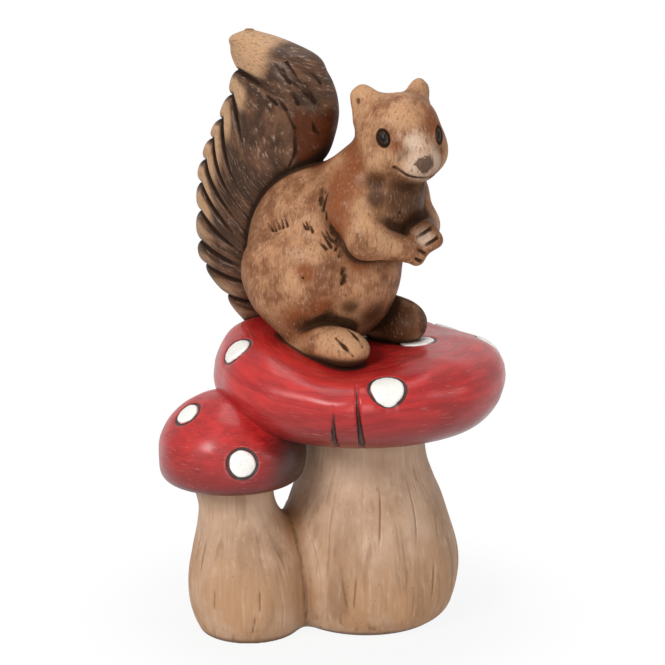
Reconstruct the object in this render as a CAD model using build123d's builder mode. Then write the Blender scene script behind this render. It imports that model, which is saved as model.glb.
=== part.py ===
from build123d import *
from math import asin, cos, degrees, radians, sin, tan
import os

# A squirrel sits on a large toadstool, with a small toadstool leaning beside it.
# Lengths are in millimetres. X is to the viewer's right, Y away from the viewer and Z up.
# The origin is under the middle of the whole ornament, on the surface it stands on.

# Walls and joints shared by the cast pieces
stalk_wall = 6.0
cap_wall = 5.0
body_wall = 5.0
vent_radius = 1.5
overrun = 2.0

# Large stalk: a belly over a narrower foot, then a long taper to the neck
large_foot_radius = 31.5
large_belly_radius = 39.5
large_belly_height = 18.0
large_taper_radius = 32.8
large_taper_height = 51.0
large_neck_radius = 24.5
large_neck_height = 74.0
large_top_radius = 26.0
large_stalk_height = 92.5

# Small stalk: the same form, leaning out to the left and standing a little in front
small_stalk_left = 47.0
small_stalk_front = 20.0
small_stalk_lean = 7.0
small_foot_radius = 21.0
small_belly_radius = 24.5
small_belly_height = 20.0
small_neck_radius = 16.3
small_neck_height = 56.0
small_top_radius = 17.5
small_stalk_height = 69.0

# Large cap: a cushion with a round rim and a shallow dip in its top
large_cap_left = 2.0
large_cap_radius = 61.0
large_cap_tilt = 3.0
rim_radius = 19.0
rim_drop = 7.0
crest_rise = 16.0
crown_dip = 3.0
large_flat_radius = 28.0

# Small cap: a dome with a short rolled lip
small_cap_radius = 31.0
small_crown_rise = 27.0
small_lip_rise = 6.0
small_lip_drop = 3.0
small_lip_width = 5.0
small_flat_radius = 18.0

# Spots let into the caps, and the slits in the front of the large rim
spot_depth = 1.2
spot_groove = 0.9
large_spot_radius = 7.4
small_spot_radius = 5.6
slit_width = 3.0
slit_half_length = 10.0
long_slit_half_length = 15.5
# Each spot by its angle round the cap from the front, and its angle up from the rim
large_spot_angles = [(10, 25), (-69, 47), (76, 20), (118, 44), (176, 26), (-132, 38)]
small_spot_angles = [(11, 12), (-61, 50), (-118, 16), (-172, 38)]
# The spot beside the left foot by its angle and its share of the way out to the crest
crown_spot_angle = 105
crown_spot_share = 0.58
slit_angles = (-10.5, -38)
long_slit_angles = (-1.2, -20)

# Squirrel: where it sits on the cap, which way it faces, and its body
squirrel_left = 18.0
squirrel_back = 2.0
squirrel_turn = 35.0
torso_half_length = 34.0
torso_half_width = 26.0
torso_half_height = 39.0
torso_sink = 2.0
chest_radius = 19.0
chest_half_height = 23.0
nape_radius = 17.0
neck_radius = 13.0

# Hind legs
haunch_half_length = 24.0
haunch_half_width = 12.0
haunch_half_height = 20.5
foot_half_length = 19.5
foot_half_width = 8.5
foot_half_height = 8.0
foot_dish_radius = 35.0
foot_dish_rise = 30.0
foot_sink = 1.5
toe_groove_width = 1.2
toe_groove_depth = 2.0

# Forelegs and paws
shoulder_radius = 9.5
elbow_radius = 7.6
wrist_radius = 4.6
paw_half_length = 6.2
paw_half_width = 5.0
paw_half_height = 4.8
finger_groove_width = 0.8
finger_groove_depth = 1.4

# Head, ears and eyes
head_turn = 31.0
head_half_length = 18.4
head_half_width = 18.3
head_half_height = 17.3
ear_half_thickness = 4.0
ear_half_width = 6.5
ear_half_height = 9.5
ear_lean = 15.0
ear_rim_width = 1.8
ear_cup_depth = 2.6
eye_radius = 4.2
mouth_width = 1.2
mouth_depth = 1.0

# Tail
tail_bottom = 2.0
tail_height = 125.5
tail_reach = 68.0
tail_half_width = 15.5
# The partings between the locks of its fur, cut in round its back edge
lock_parting_width = 6.5
lock_parting_depth = 1.7
lock_parting_reach = 7.0

# Places on the squirrel, as shares of the half sizes of the body from its middle:
# forward, to its left (the sign is turned for its right) and up
chest_shares = (0.79, 0, 0.70)
nape_shares = (0.62, 0, 0.80)
neck_shares = (1.00, 0.08, 1.16)
head_shares = (1.112, 0.10, 1.295)
haunch_shares = (-0.06, 0.77, -0.13)
right_foot_shares = (0.45, 0.77, -0.80)
left_foot_shares = (0.52, 0.73, -0.735)
shoulder_shares = (0.74, 0.56, 0.62)
elbow_shares = (1.00, 0.69, 0.33)
right_wrist_shares = (1.43, 0.23, 0.17)
left_wrist_shares = (1.46, 0.14, 0.34)
right_paw_shares = (1.53, 0.10, 0.13)
left_paw_shares = (1.53, 0.02, 0.34)
tail_vent_share = 0.5

# Places on the head, as shares of its half sizes from its middle
ear_shares = (-0.56, 0.66, 0.83)
eye_shares = (0.39, 0.555, 0.18)
mouth_shares = (0.60, 0, -0.62)
# Rings of the head from the back of the skull to the lips: forward, up, half width and half height
head_ring_shares = [
    (-0.89, 0.06, 0.44, 0.49),
    (-0.67, 0.06, 0.77, 0.78),
    (-0.29, 0.05, 1.0, 1.0),
    (0.09, -0.03, 0.96, 0.94),
    (0.41, -0.23, 0.74, 0.71),
    (0.685, -0.42, 0.57, 0.51),
    (0.90, -0.465, 0.37, 0.33),
]
head_back_shares = (-1, 0, 0.06)
head_lips_shares = (1, 0, -0.465)

# Grooves between toes and fingers, as shares of the foot's or the paw's half width and length
groove_side_shares = (-0.33, 0.33)
groove_start_share = 0.45

# Rings of the tail from its root to its tip: height, back edge, front edge and width,
# as shares of the tail's height, its reach behind the body and its half width
tail_ring_shares = [
    (0.035, -0.70, -0.46, 0.42),
    (0.125, -0.84, -0.38, 0.84),
    (0.22, -0.985, -0.34, 0.98),
    (0.40, -0.995, -0.30, 1.0),
    (0.53, -0.96, -0.14, 1.0),
    (0.67, -0.90, 0.085, 1.0),
    (0.76, -0.78, 0.115, 0.97),
    (0.87, -0.675, 0.045, 0.86),
    (0.94, -0.685, -0.075, 0.66),
    (0.985, -0.655, -0.36, 0.32),
]
tail_root_shares = (0, -0.58)
tail_tip_shares = (1, -0.56)
# Each parting by its upper end on the back edge, its middle and its lower end:
# height and reach as shares of the tail's height and its reach behind the body
parting_shares = [
    ((0.116, -0.825), (0.07, -0.65), (0.03, -0.52)),
    ((0.211, -0.965), (0.13, -0.70), (0.04, -0.46)),
    ((0.286, -0.984), (0.18, -0.72), (0.05, -0.42)),
    ((0.390, -0.993), (0.265, -0.776), (0.12, -0.43)),
    ((0.486, -0.973), (0.347, -0.783), (0.194, -0.529)),
    ((0.563, -0.946), (0.415, -0.785), (0.255, -0.569)),
    ((0.637, -0.906), (0.481, -0.768), (0.309, -0.574)),
    ((0.705, -0.842), (0.542, -0.75), (0.36, -0.579)),
    ((0.79, -0.747), (0.625, -0.708), (0.427, -0.576)),
    ((0.871, -0.675), (0.706, -0.635), (0.493, -0.559)),
]
# How much of a parting's width lies below its line, and how far it has narrowed at its middle
parting_below_share = 0.75
parting_middle_share = 0.6

# The whole is centred on its width, from the small cap's left edge to the large cap's right edge
large_cap_reach = (large_cap_radius - rim_radius) * cos(radians(large_cap_tilt)) + rim_radius
small_cap_left = small_stalk_left + small_stalk_height * tan(radians(small_stalk_lean))
left_reach = small_cap_left + small_cap_radius
right_reach = large_cap_reach - large_cap_left
large_stalk_x = (left_reach - right_reach) / 2

# Heights that the pieces share
rim_height = rim_radius - rim_drop
crest_height = rim_height + crest_rise
ring_radius = large_cap_radius - rim_radius
seat_height = large_stalk_height + crest_height - crown_dip
large_stalk_reach = large_stalk_height + large_top_radius * tan(radians(large_cap_tilt)) + overrun
small_stalk_reach = (
    small_stalk_height / cos(radians(small_stalk_lean))
    + small_top_radius * tan(radians(small_stalk_lean))
    + overrun
)
small_foot_reach = small_foot_radius * tan(radians(small_stalk_lean)) + overrun

# Frames that the pieces stand on
large_stalk_place = Plane((large_stalk_x, 0, 0))
small_stalk_place = Plane(
    (large_stalk_x - small_stalk_left, -small_stalk_front, 0),
    z_dir=(-sin(radians(small_stalk_lean)), 0, cos(radians(small_stalk_lean))),
    x_dir=(cos(radians(small_stalk_lean)), 0, sin(radians(small_stalk_lean))),
)
large_cap_place = Plane(
    (large_stalk_x - large_cap_left, 0, large_stalk_height),
    z_dir=(sin(radians(large_cap_tilt)), 0, cos(radians(large_cap_tilt))),
    x_dir=(cos(radians(large_cap_tilt)), 0, -sin(radians(large_cap_tilt))),
)
small_cap_place = Plane((large_stalk_x - small_cap_left, -small_stalk_front, small_stalk_height))
squirrel_place = Plane(
    (large_stalk_x - squirrel_left, squirrel_back, seat_height),
    x_dir=(cos(radians(squirrel_turn)), -sin(radians(squirrel_turn)), 0),
    z_dir=(0, 0, 1),
)
torso_place = squirrel_place.offset(torso_half_height - torso_sink)


def share_point(place, half_sizes, shares, side=1):
    """A point by its shares of three half sizes, on the left (1) or the right (-1)"""
    forward, left, up = shares
    return place.from_local_coords(
        (forward * half_sizes[0], side * left * half_sizes[1], up * half_sizes[2])
    )


torso_half_sizes = (torso_half_length, torso_half_width, torso_half_height)
head_half_sizes = (head_half_length, head_half_width, head_half_height)


def body_plane(shares, side=1):
    """A plane at a place on the body, turned as the body is"""
    origin = share_point(torso_place, torso_half_sizes, shares, side)
    return Plane(origin, x_dir=torso_place.x_dir, z_dir=torso_place.z_dir)


head_place = Plane(
    share_point(torso_place, torso_half_sizes, head_shares),
    x_dir=(
        cos(radians(squirrel_turn + head_turn)),
        -sin(radians(squirrel_turn + head_turn)),
        0,
    ),
    z_dir=(0, 0, 1),
)


def head_plane(shares, side=1):
    """A plane at a place on the head, turned as the head is"""
    origin = share_point(head_place, head_half_sizes, shares, side)
    return Plane(origin, x_dir=head_place.x_dir, z_dir=head_place.z_dir)


def egg(place, half_length, half_width, half_height):
    """An ellipsoid along a plane's own axes, from its three half sizes"""
    with BuildPart() as ball:
        Sphere(1)
        scale(by=(half_length, half_width, half_height))
    with BuildPart(place) as placed:
        add(ball.part)
    return placed.part


def take(*tools):
    """Cut the part in hand with each tool in turn"""
    for tool in tools:
        add(tool, clean=False, mode=Mode.SUBTRACT)


def ball(place, radius):
    """A sphere at a plane's origin"""
    return egg(place, radius, radius, radius)


def limb(start, end, start_radius, end_radius):
    """A tapering rod with round ends that runs between two points"""
    along = end - start
    side_plane = Plane(start, x_dir=along, z_dir=Vector(0, 0, 1).cross(along))
    taper = degrees(asin((start_radius - end_radius) / along.length))
    with BuildPart() as rod:
        with BuildSketch(side_plane):
            with BuildLine():
                first = CenterArc((0, 0), start_radius, 180, -90 - taper)
                last = CenterArc((along.length, 0), end_radius, 90 - taper, taper - 90)
                Line(first @ 1, last @ 0)
                Line(last @ 1, first @ 0)
            make_face()
        revolve(axis=Axis(start, along))
    return rod.part


def turned(place, points):
    """A stalk turned round its plane's upright axis from the points of its side"""
    with BuildPart() as stalk:
        with BuildSketch(Plane(place.origin, x_dir=place.x_dir, z_dir=-place.y_dir)):
            with BuildLine():
                Spline(*points)
                Polyline(points[-1], (0, points[-1][1]), (0, points[0][1]), points[0])
            make_face()
        revolve(axis=Axis(place.origin, place.z_dir))
    return stalk.part


def large_stalk_body(inset, foot, top):
    """The large stalk's form, drawn in by the inset, from its foot up to its top"""
    return turned(
        large_stalk_place,
        [
            (large_foot_radius - inset, foot),
            (large_belly_radius - inset, large_belly_height),
            (large_taper_radius - inset, large_taper_height),
            (large_neck_radius - inset, large_neck_height),
            (large_top_radius - inset, top),
        ],
    )


def small_stalk_body(inset, top):
    """The small stalk's form, drawn in by the inset, up to its top"""
    return turned(
        small_stalk_place,
        [
            (small_foot_radius - inset, -small_foot_reach),
            (small_belly_radius - inset, small_belly_height),
            (small_neck_radius - inset, small_neck_height),
            (small_top_radius - inset, top),
        ],
    )


def large_cap_body(inset):
    """The large cap's outer form, or its hollow where the inset is its wall"""
    place = large_cap_place
    bottom = inset - rim_drop
    with BuildPart() as cap:
        with BuildSketch(Plane(place.origin, x_dir=place.x_dir, z_dir=-place.y_dir)):
            with BuildLine():
                Line((0, inset), (large_flat_radius, inset))
                Spline((large_flat_radius, inset), (ring_radius, bottom), tangents=[(1, 0), (1, 0)])
                CenterArc((ring_radius, rim_height), rim_radius - inset, -90, 90)
                crest = EllipticalCenterArc(
                    (ring_radius, rim_height), rim_radius - inset, crest_rise - inset, 0, arc_size=90
                )
                middle = (0, crest_height - crown_dip - inset)
                Spline(crest @ 1, middle, tangents=[(-1, 0), (-1, 0)])
                Line(middle, (0, inset))
            make_face()
        revolve(axis=Axis(place.origin, place.z_dir))
    return cap.part


def small_cap_body(inset):
    """The small cap's outer form, or its hollow where the inset is its wall"""
    place = small_cap_place
    lip_radius = small_cap_radius - small_lip_width
    with BuildPart() as cap:
        with BuildSketch(Plane(place.origin, x_dir=place.x_dir, z_dir=-place.y_dir)):
            with BuildLine():
                Line((0, inset), (small_flat_radius - inset, inset))
                Spline(
                    (small_flat_radius - inset, inset),
                    (lip_radius - inset, inset - small_lip_drop),
                    tangents=[(1, 0), (1, 0)],
                )
                EllipticalCenterArc(
                    (lip_radius - inset, small_lip_rise),
                    small_lip_width,
                    small_lip_rise + small_lip_drop - inset,
                    -90,
                    arc_size=90,
                )
                dome = EllipticalCenterArc(
                    (0, small_lip_rise),
                    small_cap_radius - inset,
                    small_crown_rise - inset,
                    0,
                    arc_size=90,
                )
                Line(dome @ 1, (0, inset))
            make_face()
        revolve(axis=Axis(place.origin, place.z_dir))
    return cap.part


def cap_plane(place, turn, lift, ring, width, rise, height):
    """A plane that lies on the crown of a cap, facing out"""
    turn = radians(turn)
    lift = radians(lift)
    radius = ring + width * cos(lift)
    level = height + rise * sin(lift)
    point = place.from_local_coords((radius * sin(turn), -radius * cos(turn), level))
    outward = place.x_dir * sin(turn) - place.y_dir * cos(turn)
    slope = outward * (cos(lift) / width) + place.z_dir * (sin(lift) / rise)
    return Plane(point, x_dir=place.z_dir.cross(outward), z_dir=slope)


def discs(planes, radius):
    """A short rod through the surface at each plane"""
    with BuildPart() as rods:
        for plane in planes:
            with BuildSketch(plane):
                Circle(radius)
            extrude(amount=radius, both=True)
    return rods.part


def vent(start, end):
    """A straight vent hole between two hollows"""
    with BuildPart(Plane(start, z_dir=end - start)) as hole:
        Cylinder(vent_radius, (end - start).length, align=(Align.CENTER, Align.CENTER, Align.MIN))
    return hole.part


def tail_end(shares):
    """The point at the root or the tip of the tail"""
    height, reach = shares
    point = squirrel_place.from_local_coords(
        (reach * tail_reach, 0, tail_bottom + height * tail_height)
    )
    return Vertex(point.X, point.Y, point.Z)


def tail_sections(rings, inset):
    """Rings of the tail, drawn in by the inset"""
    sections = []
    for height, back, front, width in rings:
        middle = (back + front) / 2 * tail_reach
        origin = squirrel_place.from_local_coords((middle, 0, tail_bottom + height * tail_height))
        with BuildSketch(Plane(origin, x_dir=squirrel_place.x_dir, z_dir=(0, 0, 1))) as ring:
            Ellipse((front - back) / 2 * tail_reach - inset, width * tail_half_width - inset)
        sections.append(ring.sketch)
    return sections


def tail_point(height, reach):
    """A point of the tail's side view from its shares"""
    return Vector(reach * tail_reach, tail_bottom + height * tail_height)


def lock_parting(upper, middle, lower):
    """A curved wedge that cuts one parting, wide at the back edge and pointed at its lower end"""
    edge, bend, point = (tail_point(*shares) for shares in (upper, middle, lower))
    outward = (edge - bend).normalized()
    upward = Vector(outward.Y, -outward.X) * lock_parting_width
    below = upward * -parting_below_share
    above = upward * (1 - parting_below_share)
    start = edge + outward * lock_parting_reach
    side_view = Plane(
        squirrel_place.origin, x_dir=squirrel_place.x_dir, z_dir=squirrel_place.y_dir * -1
    )
    with BuildPart() as wedge:
        with BuildSketch(side_view):
            with BuildLine():
                ThreePointArc(start + below, bend + below * parting_middle_share, point)
                ThreePointArc(point, bend + above * parting_middle_share, start + above)
                Line(start + above, start + below)
            make_face()
        extrude(amount=tail_half_width + overrun, both=True)
    return wedge.part


def head_sections(rings, inset):
    """Rings of the head, drawn in by the inset"""
    sections = []
    for forward, up, width, height in rings:
        ring_place = head_plane((forward, 0, up))
        with BuildSketch(
            Plane(ring_place.origin, x_dir=ring_place.z_dir, z_dir=ring_place.x_dir)
        ) as ring:
            Ellipse(height * head_half_height - inset, width * head_half_width - inset)
        sections.append(ring.sketch)
    return sections


def grooves(place, half_length, half_width, half_height, width, depth):
    """Upright grooves across the front of a foot or a paw, which part its toes or fingers"""
    core = egg(place, half_length - depth, half_width - depth, half_height - depth)
    with BuildPart(place) as cuts:
        with Locations([(half_length, share * half_width, 0) for share in groove_side_shares]):
            Box((1 - groove_start_share) * half_length * 2, width, (half_height + overrun) * 2)
    with BuildPart() as trimmed:
        add(cuts.part)
        add(core, mode=Mode.SUBTRACT)
    return trimmed.part


# Outer forms that trim each other, so that the pieces meet face to face
large_stalk_outer = large_stalk_body(0, 0, large_stalk_reach)
small_cap_outer = small_cap_body(0)

# Feet, and the dish under the right one that its weight presses into the cap
right_foot_place = body_plane(right_foot_shares, -1)
left_foot_place = body_plane(left_foot_shares)
dish_place = right_foot_place.offset(foot_dish_rise - foot_half_height + foot_sink)


def pressed_cap_body(inset):
    """The large cap's form with the dish in its top, drawn in by the inset"""
    with BuildPart() as cap:
        add(large_cap_body(inset))
        dish_radius = foot_dish_radius + inset
        take(egg(dish_place, dish_radius, dish_radius, foot_dish_rise + inset))
    return cap.part


large_cap_outer = pressed_cap_body(0)

# Planes of the spots and the slits
large_spot_planes = [
    cap_plane(large_cap_place, turn, lift, ring_radius, rim_radius, crest_rise, rim_height)
    for turn, lift in large_spot_angles
]
crown_spot_turn = radians(crown_spot_angle)
crown_spot_reach = crown_spot_share * ring_radius
large_spot_planes.append(
    Plane(
        large_cap_place.from_local_coords(
            (
                crown_spot_reach * sin(crown_spot_turn),
                -crown_spot_reach * cos(crown_spot_turn),
                crest_height - crown_dip / 2,
            )
        ),
        z_dir=large_cap_place.z_dir,
    )
)
small_spot_planes = [
    cap_plane(small_cap_place, turn, lift, 0, small_cap_radius, small_crown_rise, small_lip_rise)
    for turn, lift in small_spot_angles
]

# Two tapering slits in the front of the large rim
with BuildPart() as slit_cuts:
    for (turn, lift), half_length in (
        (slit_angles, slit_half_length),
        (long_slit_angles, long_slit_half_length),
    ):
        slit_plane = cap_plane(
            large_cap_place, turn, lift, ring_radius, rim_radius, rim_radius, rim_height
        )
        with BuildSketch(slit_plane):
            Ellipse(slit_width / 2, half_length)
        extrude(amount=rim_radius / 2, both=True)

# Large stalk: open foot ring, and a closed top with a vent into the cap
stalk_vent = vent(
    Vector(large_stalk_x, 0, large_stalk_height - stalk_wall - overrun),
    Vector(large_stalk_x, 0, large_stalk_height + cap_wall + overrun),
)
with BuildPart() as large_stalk:
    add(large_stalk_outer)
    take(
        large_stalk_body(stalk_wall, -overrun, large_stalk_height - stalk_wall),
        large_cap_outer,
        stalk_vent,
    )
large_stalk.part.label = "large_stalk"

# Small stalk: cut flat at the ground, and hollowed clear of the large stalk
small_cap_foot = Vector(small_cap_place.origin.X, small_cap_place.origin.Y, 0)
small_vent = vent(
    small_cap_foot + Vector(0, 0, small_stalk_height - stalk_wall - overrun),
    small_cap_foot + Vector(0, 0, small_stalk_height + cap_wall + overrun),
)
with BuildPart() as small_hollow:
    add(small_stalk_body(stalk_wall, small_stalk_height - stalk_wall))
    add(
        large_stalk_body(-stalk_wall, -small_foot_reach, large_stalk_reach),
        mode=Mode.SUBTRACT,
    )

with BuildPart() as small_stalk:
    add(small_stalk_body(0, small_stalk_reach))
    split(bisect_by=Plane.XY, keep=Keep.TOP)
    take(small_hollow.part, large_stalk_outer, small_cap_outer, small_vent)
small_stalk.part.label = "small_stalk"

# Large cap: hollow, with seats for its spots, a ring groove round each seat, and the slits
crown_vent = vent(
    squirrel_place.origin - Vector(0, 0, cap_wall + overrun),
    squirrel_place.origin + Vector(0, 0, body_wall + overrun),
)
large_cap_core = pressed_cap_body(spot_depth)
with BuildPart() as large_cap_cuts:
    add(discs(large_spot_planes, large_spot_radius + spot_groove))
    add(slit_cuts.part)
    add(large_cap_core, mode=Mode.SUBTRACT)

with BuildPart() as large_cap:
    add(large_cap_outer)
    take(pressed_cap_body(cap_wall), large_cap_cuts.part, stalk_vent, crown_vent)
large_cap.part.label = "large_cap"

# Small cap: hollow, tucked under the rim of the large one and cut to fit it
small_cap_core = small_cap_body(spot_depth)
with BuildPart() as small_cap_cuts:
    add(discs(small_spot_planes, small_spot_radius + spot_groove))
    add(small_cap_core, mode=Mode.SUBTRACT)

with BuildPart() as small_cap_hollow:
    add(small_cap_body(cap_wall))
    add(large_cap_body(-cap_wall), mode=Mode.SUBTRACT)

with BuildPart() as small_cap:
    add(small_cap_outer)
    take(small_cap_hollow.part, small_cap_cuts.part, large_cap_outer, small_vent)
small_cap.part.label = "small_cap"

# Spots: discs as thick as their seats are deep, with the curve of the cap on their faces
with BuildPart() as large_cap_spots:
    add(discs(large_spot_planes, large_spot_radius))
    add(large_cap_outer, mode=Mode.INTERSECT)
    add(large_cap_core, mode=Mode.SUBTRACT)
large_cap_spots.part.label = "large_cap_spots"

with BuildPart() as small_cap_spots:
    add(discs(small_spot_planes, small_spot_radius))
    add(small_cap_outer, mode=Mode.INTERSECT)
    take(small_cap_core, large_cap_outer)
small_cap_spots.part.label = "small_cap_spots"

# Head: lofted from the back of the skull to the lips, with sockets for the eyes and a cut mouth
head_back = head_plane(head_back_shares).origin
head_lips = head_plane(head_lips_shares).origin
with BuildPart() as head_outer:
    loft(
        [
            Vertex(head_back.X, head_back.Y, head_back.Z),
            *head_sections(head_ring_shares, 0),
            Vertex(head_lips.X, head_lips.Y, head_lips.Z),
        ]
    )

with BuildPart() as head_hollow:
    loft(head_sections(head_ring_shares[1:4], body_wall))

with BuildPart() as mouth_core:
    loft(head_sections(head_ring_shares[3:], mouth_depth))

with BuildPart(head_plane(mouth_shares)) as mouth:
    Box(
        head_half_length,
        head_half_width * 2,
        mouth_width,
        align=(Align.MIN, Align.CENTER, Align.CENTER),
    )

with BuildPart() as mouth_cut:
    add(mouth.part)
    take(mouth_core.part)

eye_balls = {side: ball(head_plane(eye_shares, side), eye_radius) for side in (-1, 1)}
chest_place = body_plane(chest_shares)
neck_vent = vent(chest_place.origin, head_place.origin)
with BuildPart() as head:
    add(head_outer.part)
    take(head_hollow.part, neck_vent, mouth_cut.part, *eye_balls.values())
head.part.label = "head"

# Torso: body, chest and neck in one, trimmed by the cap below it and the head above it
nape_point = body_plane(nape_shares).origin
neck_point = body_plane(neck_shares).origin
with BuildPart() as torso_outer:
    add(egg(torso_place, torso_half_length, torso_half_width, torso_half_height))
    add(egg(chest_place, chest_radius, chest_radius, chest_half_height))
    add(limb(nape_point, neck_point, nape_radius, neck_radius))
    take(large_cap_outer, head_outer.part)

with BuildPart() as torso_hollow:
    add(
        egg(
            torso_place,
            torso_half_length - body_wall,
            torso_half_width - body_wall,
            torso_half_height - body_wall,
        )
    )
    chest_hollow_radius = chest_radius - body_wall
    add(egg(chest_place, chest_hollow_radius, chest_hollow_radius, chest_half_height - body_wall))
    add(large_cap_body(-body_wall), mode=Mode.SUBTRACT)

tail_vent = vent(
    body_plane((-tail_vent_share, 0, 0)).origin,
    body_plane((tail_vent_share - 2, 0, 0)).origin,
)
with BuildPart() as torso:
    add(torso_outer.part)
    take(torso_hollow.part, crown_vent, neck_vent, tail_vent)
torso.part.label = "torso"

# Tail: lofted from ring to ring, and trimmed by the back that it leans on
with BuildPart() as tail_hollow:
    loft(tail_sections(tail_ring_shares[2:-2], body_wall))
    add(
        egg(
            torso_place,
            torso_half_length + body_wall,
            torso_half_width + body_wall,
            torso_half_height + body_wall,
        ),
        mode=Mode.SUBTRACT,
    )

with BuildPart() as tail_core:
    loft(tail_sections(tail_ring_shares, lock_parting_depth))

partings = []
for shares in parting_shares:
    with BuildPart() as parting:
        add(lock_parting(*shares))
        take(tail_core.part)
    partings.append(parting.part)

with BuildPart() as tail:
    loft(
        [
            tail_end(tail_root_shares),
            *tail_sections(tail_ring_shares, 0),
            tail_end(tail_tip_shares),
        ]
    )
    take(*partings)
    take(torso_outer.part, large_cap_outer, tail_hollow.part, tail_vent)
tail.part.label = "tail"

# Paws: the left one lies over the right one
paw_sizes = (paw_half_length, paw_half_width, paw_half_height)
paws = {}
for side, shares in ((1, left_paw_shares), (-1, right_paw_shares)):
    paw_place = body_plane(shares, side)
    with BuildPart() as paw:
        add(egg(paw_place, *paw_sizes))
        take(*paws.values())
        take(grooves(paw_place, *paw_sizes, finger_groove_width, finger_groove_depth))
    paws[side] = paw.part

# The other pieces that the squirrel has one of on either side, right (-1) and left (1)
haunches = {}
feet = {}
forelegs = {}
ears = {}
eyes = {}
for side in (-1, 1):
    with BuildPart() as haunch:
        add(
            egg(
                body_plane(haunch_shares, side),
                haunch_half_length,
                haunch_half_width,
                haunch_half_height,
            )
        )
        take(torso_outer.part, tail.part, large_cap_outer)
    haunches[side] = haunch.part

    foot_place = left_foot_place if side > 0 else right_foot_place
    foot_sizes = (foot_half_length, foot_half_width, foot_half_height)
    with BuildPart() as foot:
        add(egg(foot_place, *foot_sizes))
        take(torso_outer.part, haunch.part, large_cap_outer)
        take(grooves(foot_place, *foot_sizes, toe_groove_width, toe_groove_depth))
    feet[side] = foot.part

    shoulder = body_plane(shoulder_shares, side).origin
    elbow = body_plane(elbow_shares, side).origin
    wrist = body_plane(left_wrist_shares if side > 0 else right_wrist_shares, side).origin
    with BuildPart() as foreleg:
        add(limb(shoulder, elbow, shoulder_radius, elbow_radius))
        add(limb(elbow, wrist, elbow_radius, wrist_radius))
        take(torso_outer.part, *paws.values())
    forelegs[side] = foreleg.part

    ear_base = head_plane(ear_shares, side)
    lean = radians(ear_lean)
    ear_up = ear_base.z_dir * cos(lean) + ear_base.y_dir * side * sin(lean)
    cup_reach = 2 * ear_half_thickness - ear_cup_depth
    ear_place = Plane(ear_base.origin, x_dir=ear_base.x_dir, z_dir=ear_up)
    cup_place = Plane(
        ear_base.origin + ear_base.x_dir * cup_reach, x_dir=ear_base.x_dir, z_dir=ear_up
    )
    cup_width = ear_half_width - ear_rim_width
    cup_height = ear_half_height - ear_rim_width
    with BuildPart() as ear:
        add(egg(ear_place, ear_half_thickness, ear_half_width, ear_half_height))
        take(egg(cup_place, ear_half_thickness, cup_width, cup_height), head_outer.part)
    ears[side] = ear.part
    eyes[side] = eye_balls[side]

for pieces, name in (
    (haunches, "haunch"),
    (feet, "hind_foot"),
    (forelegs, "foreleg"),
    (paws, "forepaw"),
    (ears, "ear"),
    (eyes, "eye"),
):
    pieces[-1].label = "right_" + name
    pieces[1].label = "left_" + name

os.makedirs("parts", exist_ok=True)
for piece in (
    large_stalk.part,
    small_stalk.part,
    large_cap.part,
    small_cap.part,
    large_cap_spots.part,
    small_cap_spots.part,
    torso.part,
    head.part,
    tail.part,
    *haunches.values(),
    *feet.values(),
    *forelegs.values(),
    *paws.values(),
    *ears.values(),
    *eyes.values(),
):
    export_step(piece, "parts/" + piece.label + ".step")
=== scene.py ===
import math

import bpy
import numpy as np
import openvdb
from mathutils import Matrix, Vector, noise


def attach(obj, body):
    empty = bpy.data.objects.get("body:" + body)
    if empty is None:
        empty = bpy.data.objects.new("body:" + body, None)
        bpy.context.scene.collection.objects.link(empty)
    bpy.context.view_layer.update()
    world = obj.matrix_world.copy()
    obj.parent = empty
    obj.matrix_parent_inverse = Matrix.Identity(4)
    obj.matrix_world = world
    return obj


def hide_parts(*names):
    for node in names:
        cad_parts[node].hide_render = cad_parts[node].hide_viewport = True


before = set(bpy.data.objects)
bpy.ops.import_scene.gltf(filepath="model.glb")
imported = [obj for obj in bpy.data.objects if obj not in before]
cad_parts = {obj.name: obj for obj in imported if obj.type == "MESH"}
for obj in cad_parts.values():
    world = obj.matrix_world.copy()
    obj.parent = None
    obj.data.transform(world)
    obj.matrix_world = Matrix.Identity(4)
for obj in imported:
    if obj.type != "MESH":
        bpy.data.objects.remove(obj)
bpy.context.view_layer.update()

# The table top, the light and the camera. The ornament stands on a plain white table
# in soft studio light, seen a little from above.
camera_data = bpy.data.cameras.new("camera")
camera_data.sensor_width = 36
camera_data.lens = 103.94
camera = bpy.data.objects.new("camera", camera_data)
bpy.context.scene.collection.objects.link(camera)
camera_rise = math.radians(14)
camera_distance = 0.8
look_height = 0.122
camera.location = (
    -0.00024,
    -camera_distance * math.cos(camera_rise),
    look_height + camera_distance * math.sin(camera_rise),
)
camera.rotation_euler = (math.pi / 2 - camera_rise, 0, 0)
bpy.context.scene.camera = camera
bpy.context.scene.view_settings.view_transform = "Standard"


def softbox(name, place, aim, size, power):
    """A square lamp at a place, turned to its aim"""
    lamp = bpy.data.lights.new(name, "AREA")
    lamp.size = size
    lamp.energy = power
    holder = bpy.data.objects.new(name, lamp)
    bpy.context.scene.collection.objects.link(holder)
    holder.location = place
    holder.rotation_euler = (Vector(aim) - Vector(place)).to_track_quat("-Z", "Y").to_euler()


for name, place, size, power in (
    ("key_light", (-1.0, -1.15, 1.1), 0.6, 19),
    ("front_light", (0.1, -1.7, 0.45), 0.7, 7),
    ("side_light", (1.25, -0.6, 0.7), 0.6, 3),
    ("top_light", (0.0, 0.3, 1.6), 0.9, 8),
):
    softbox(name, place, (0, 0, 0.13), size, power)


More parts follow.
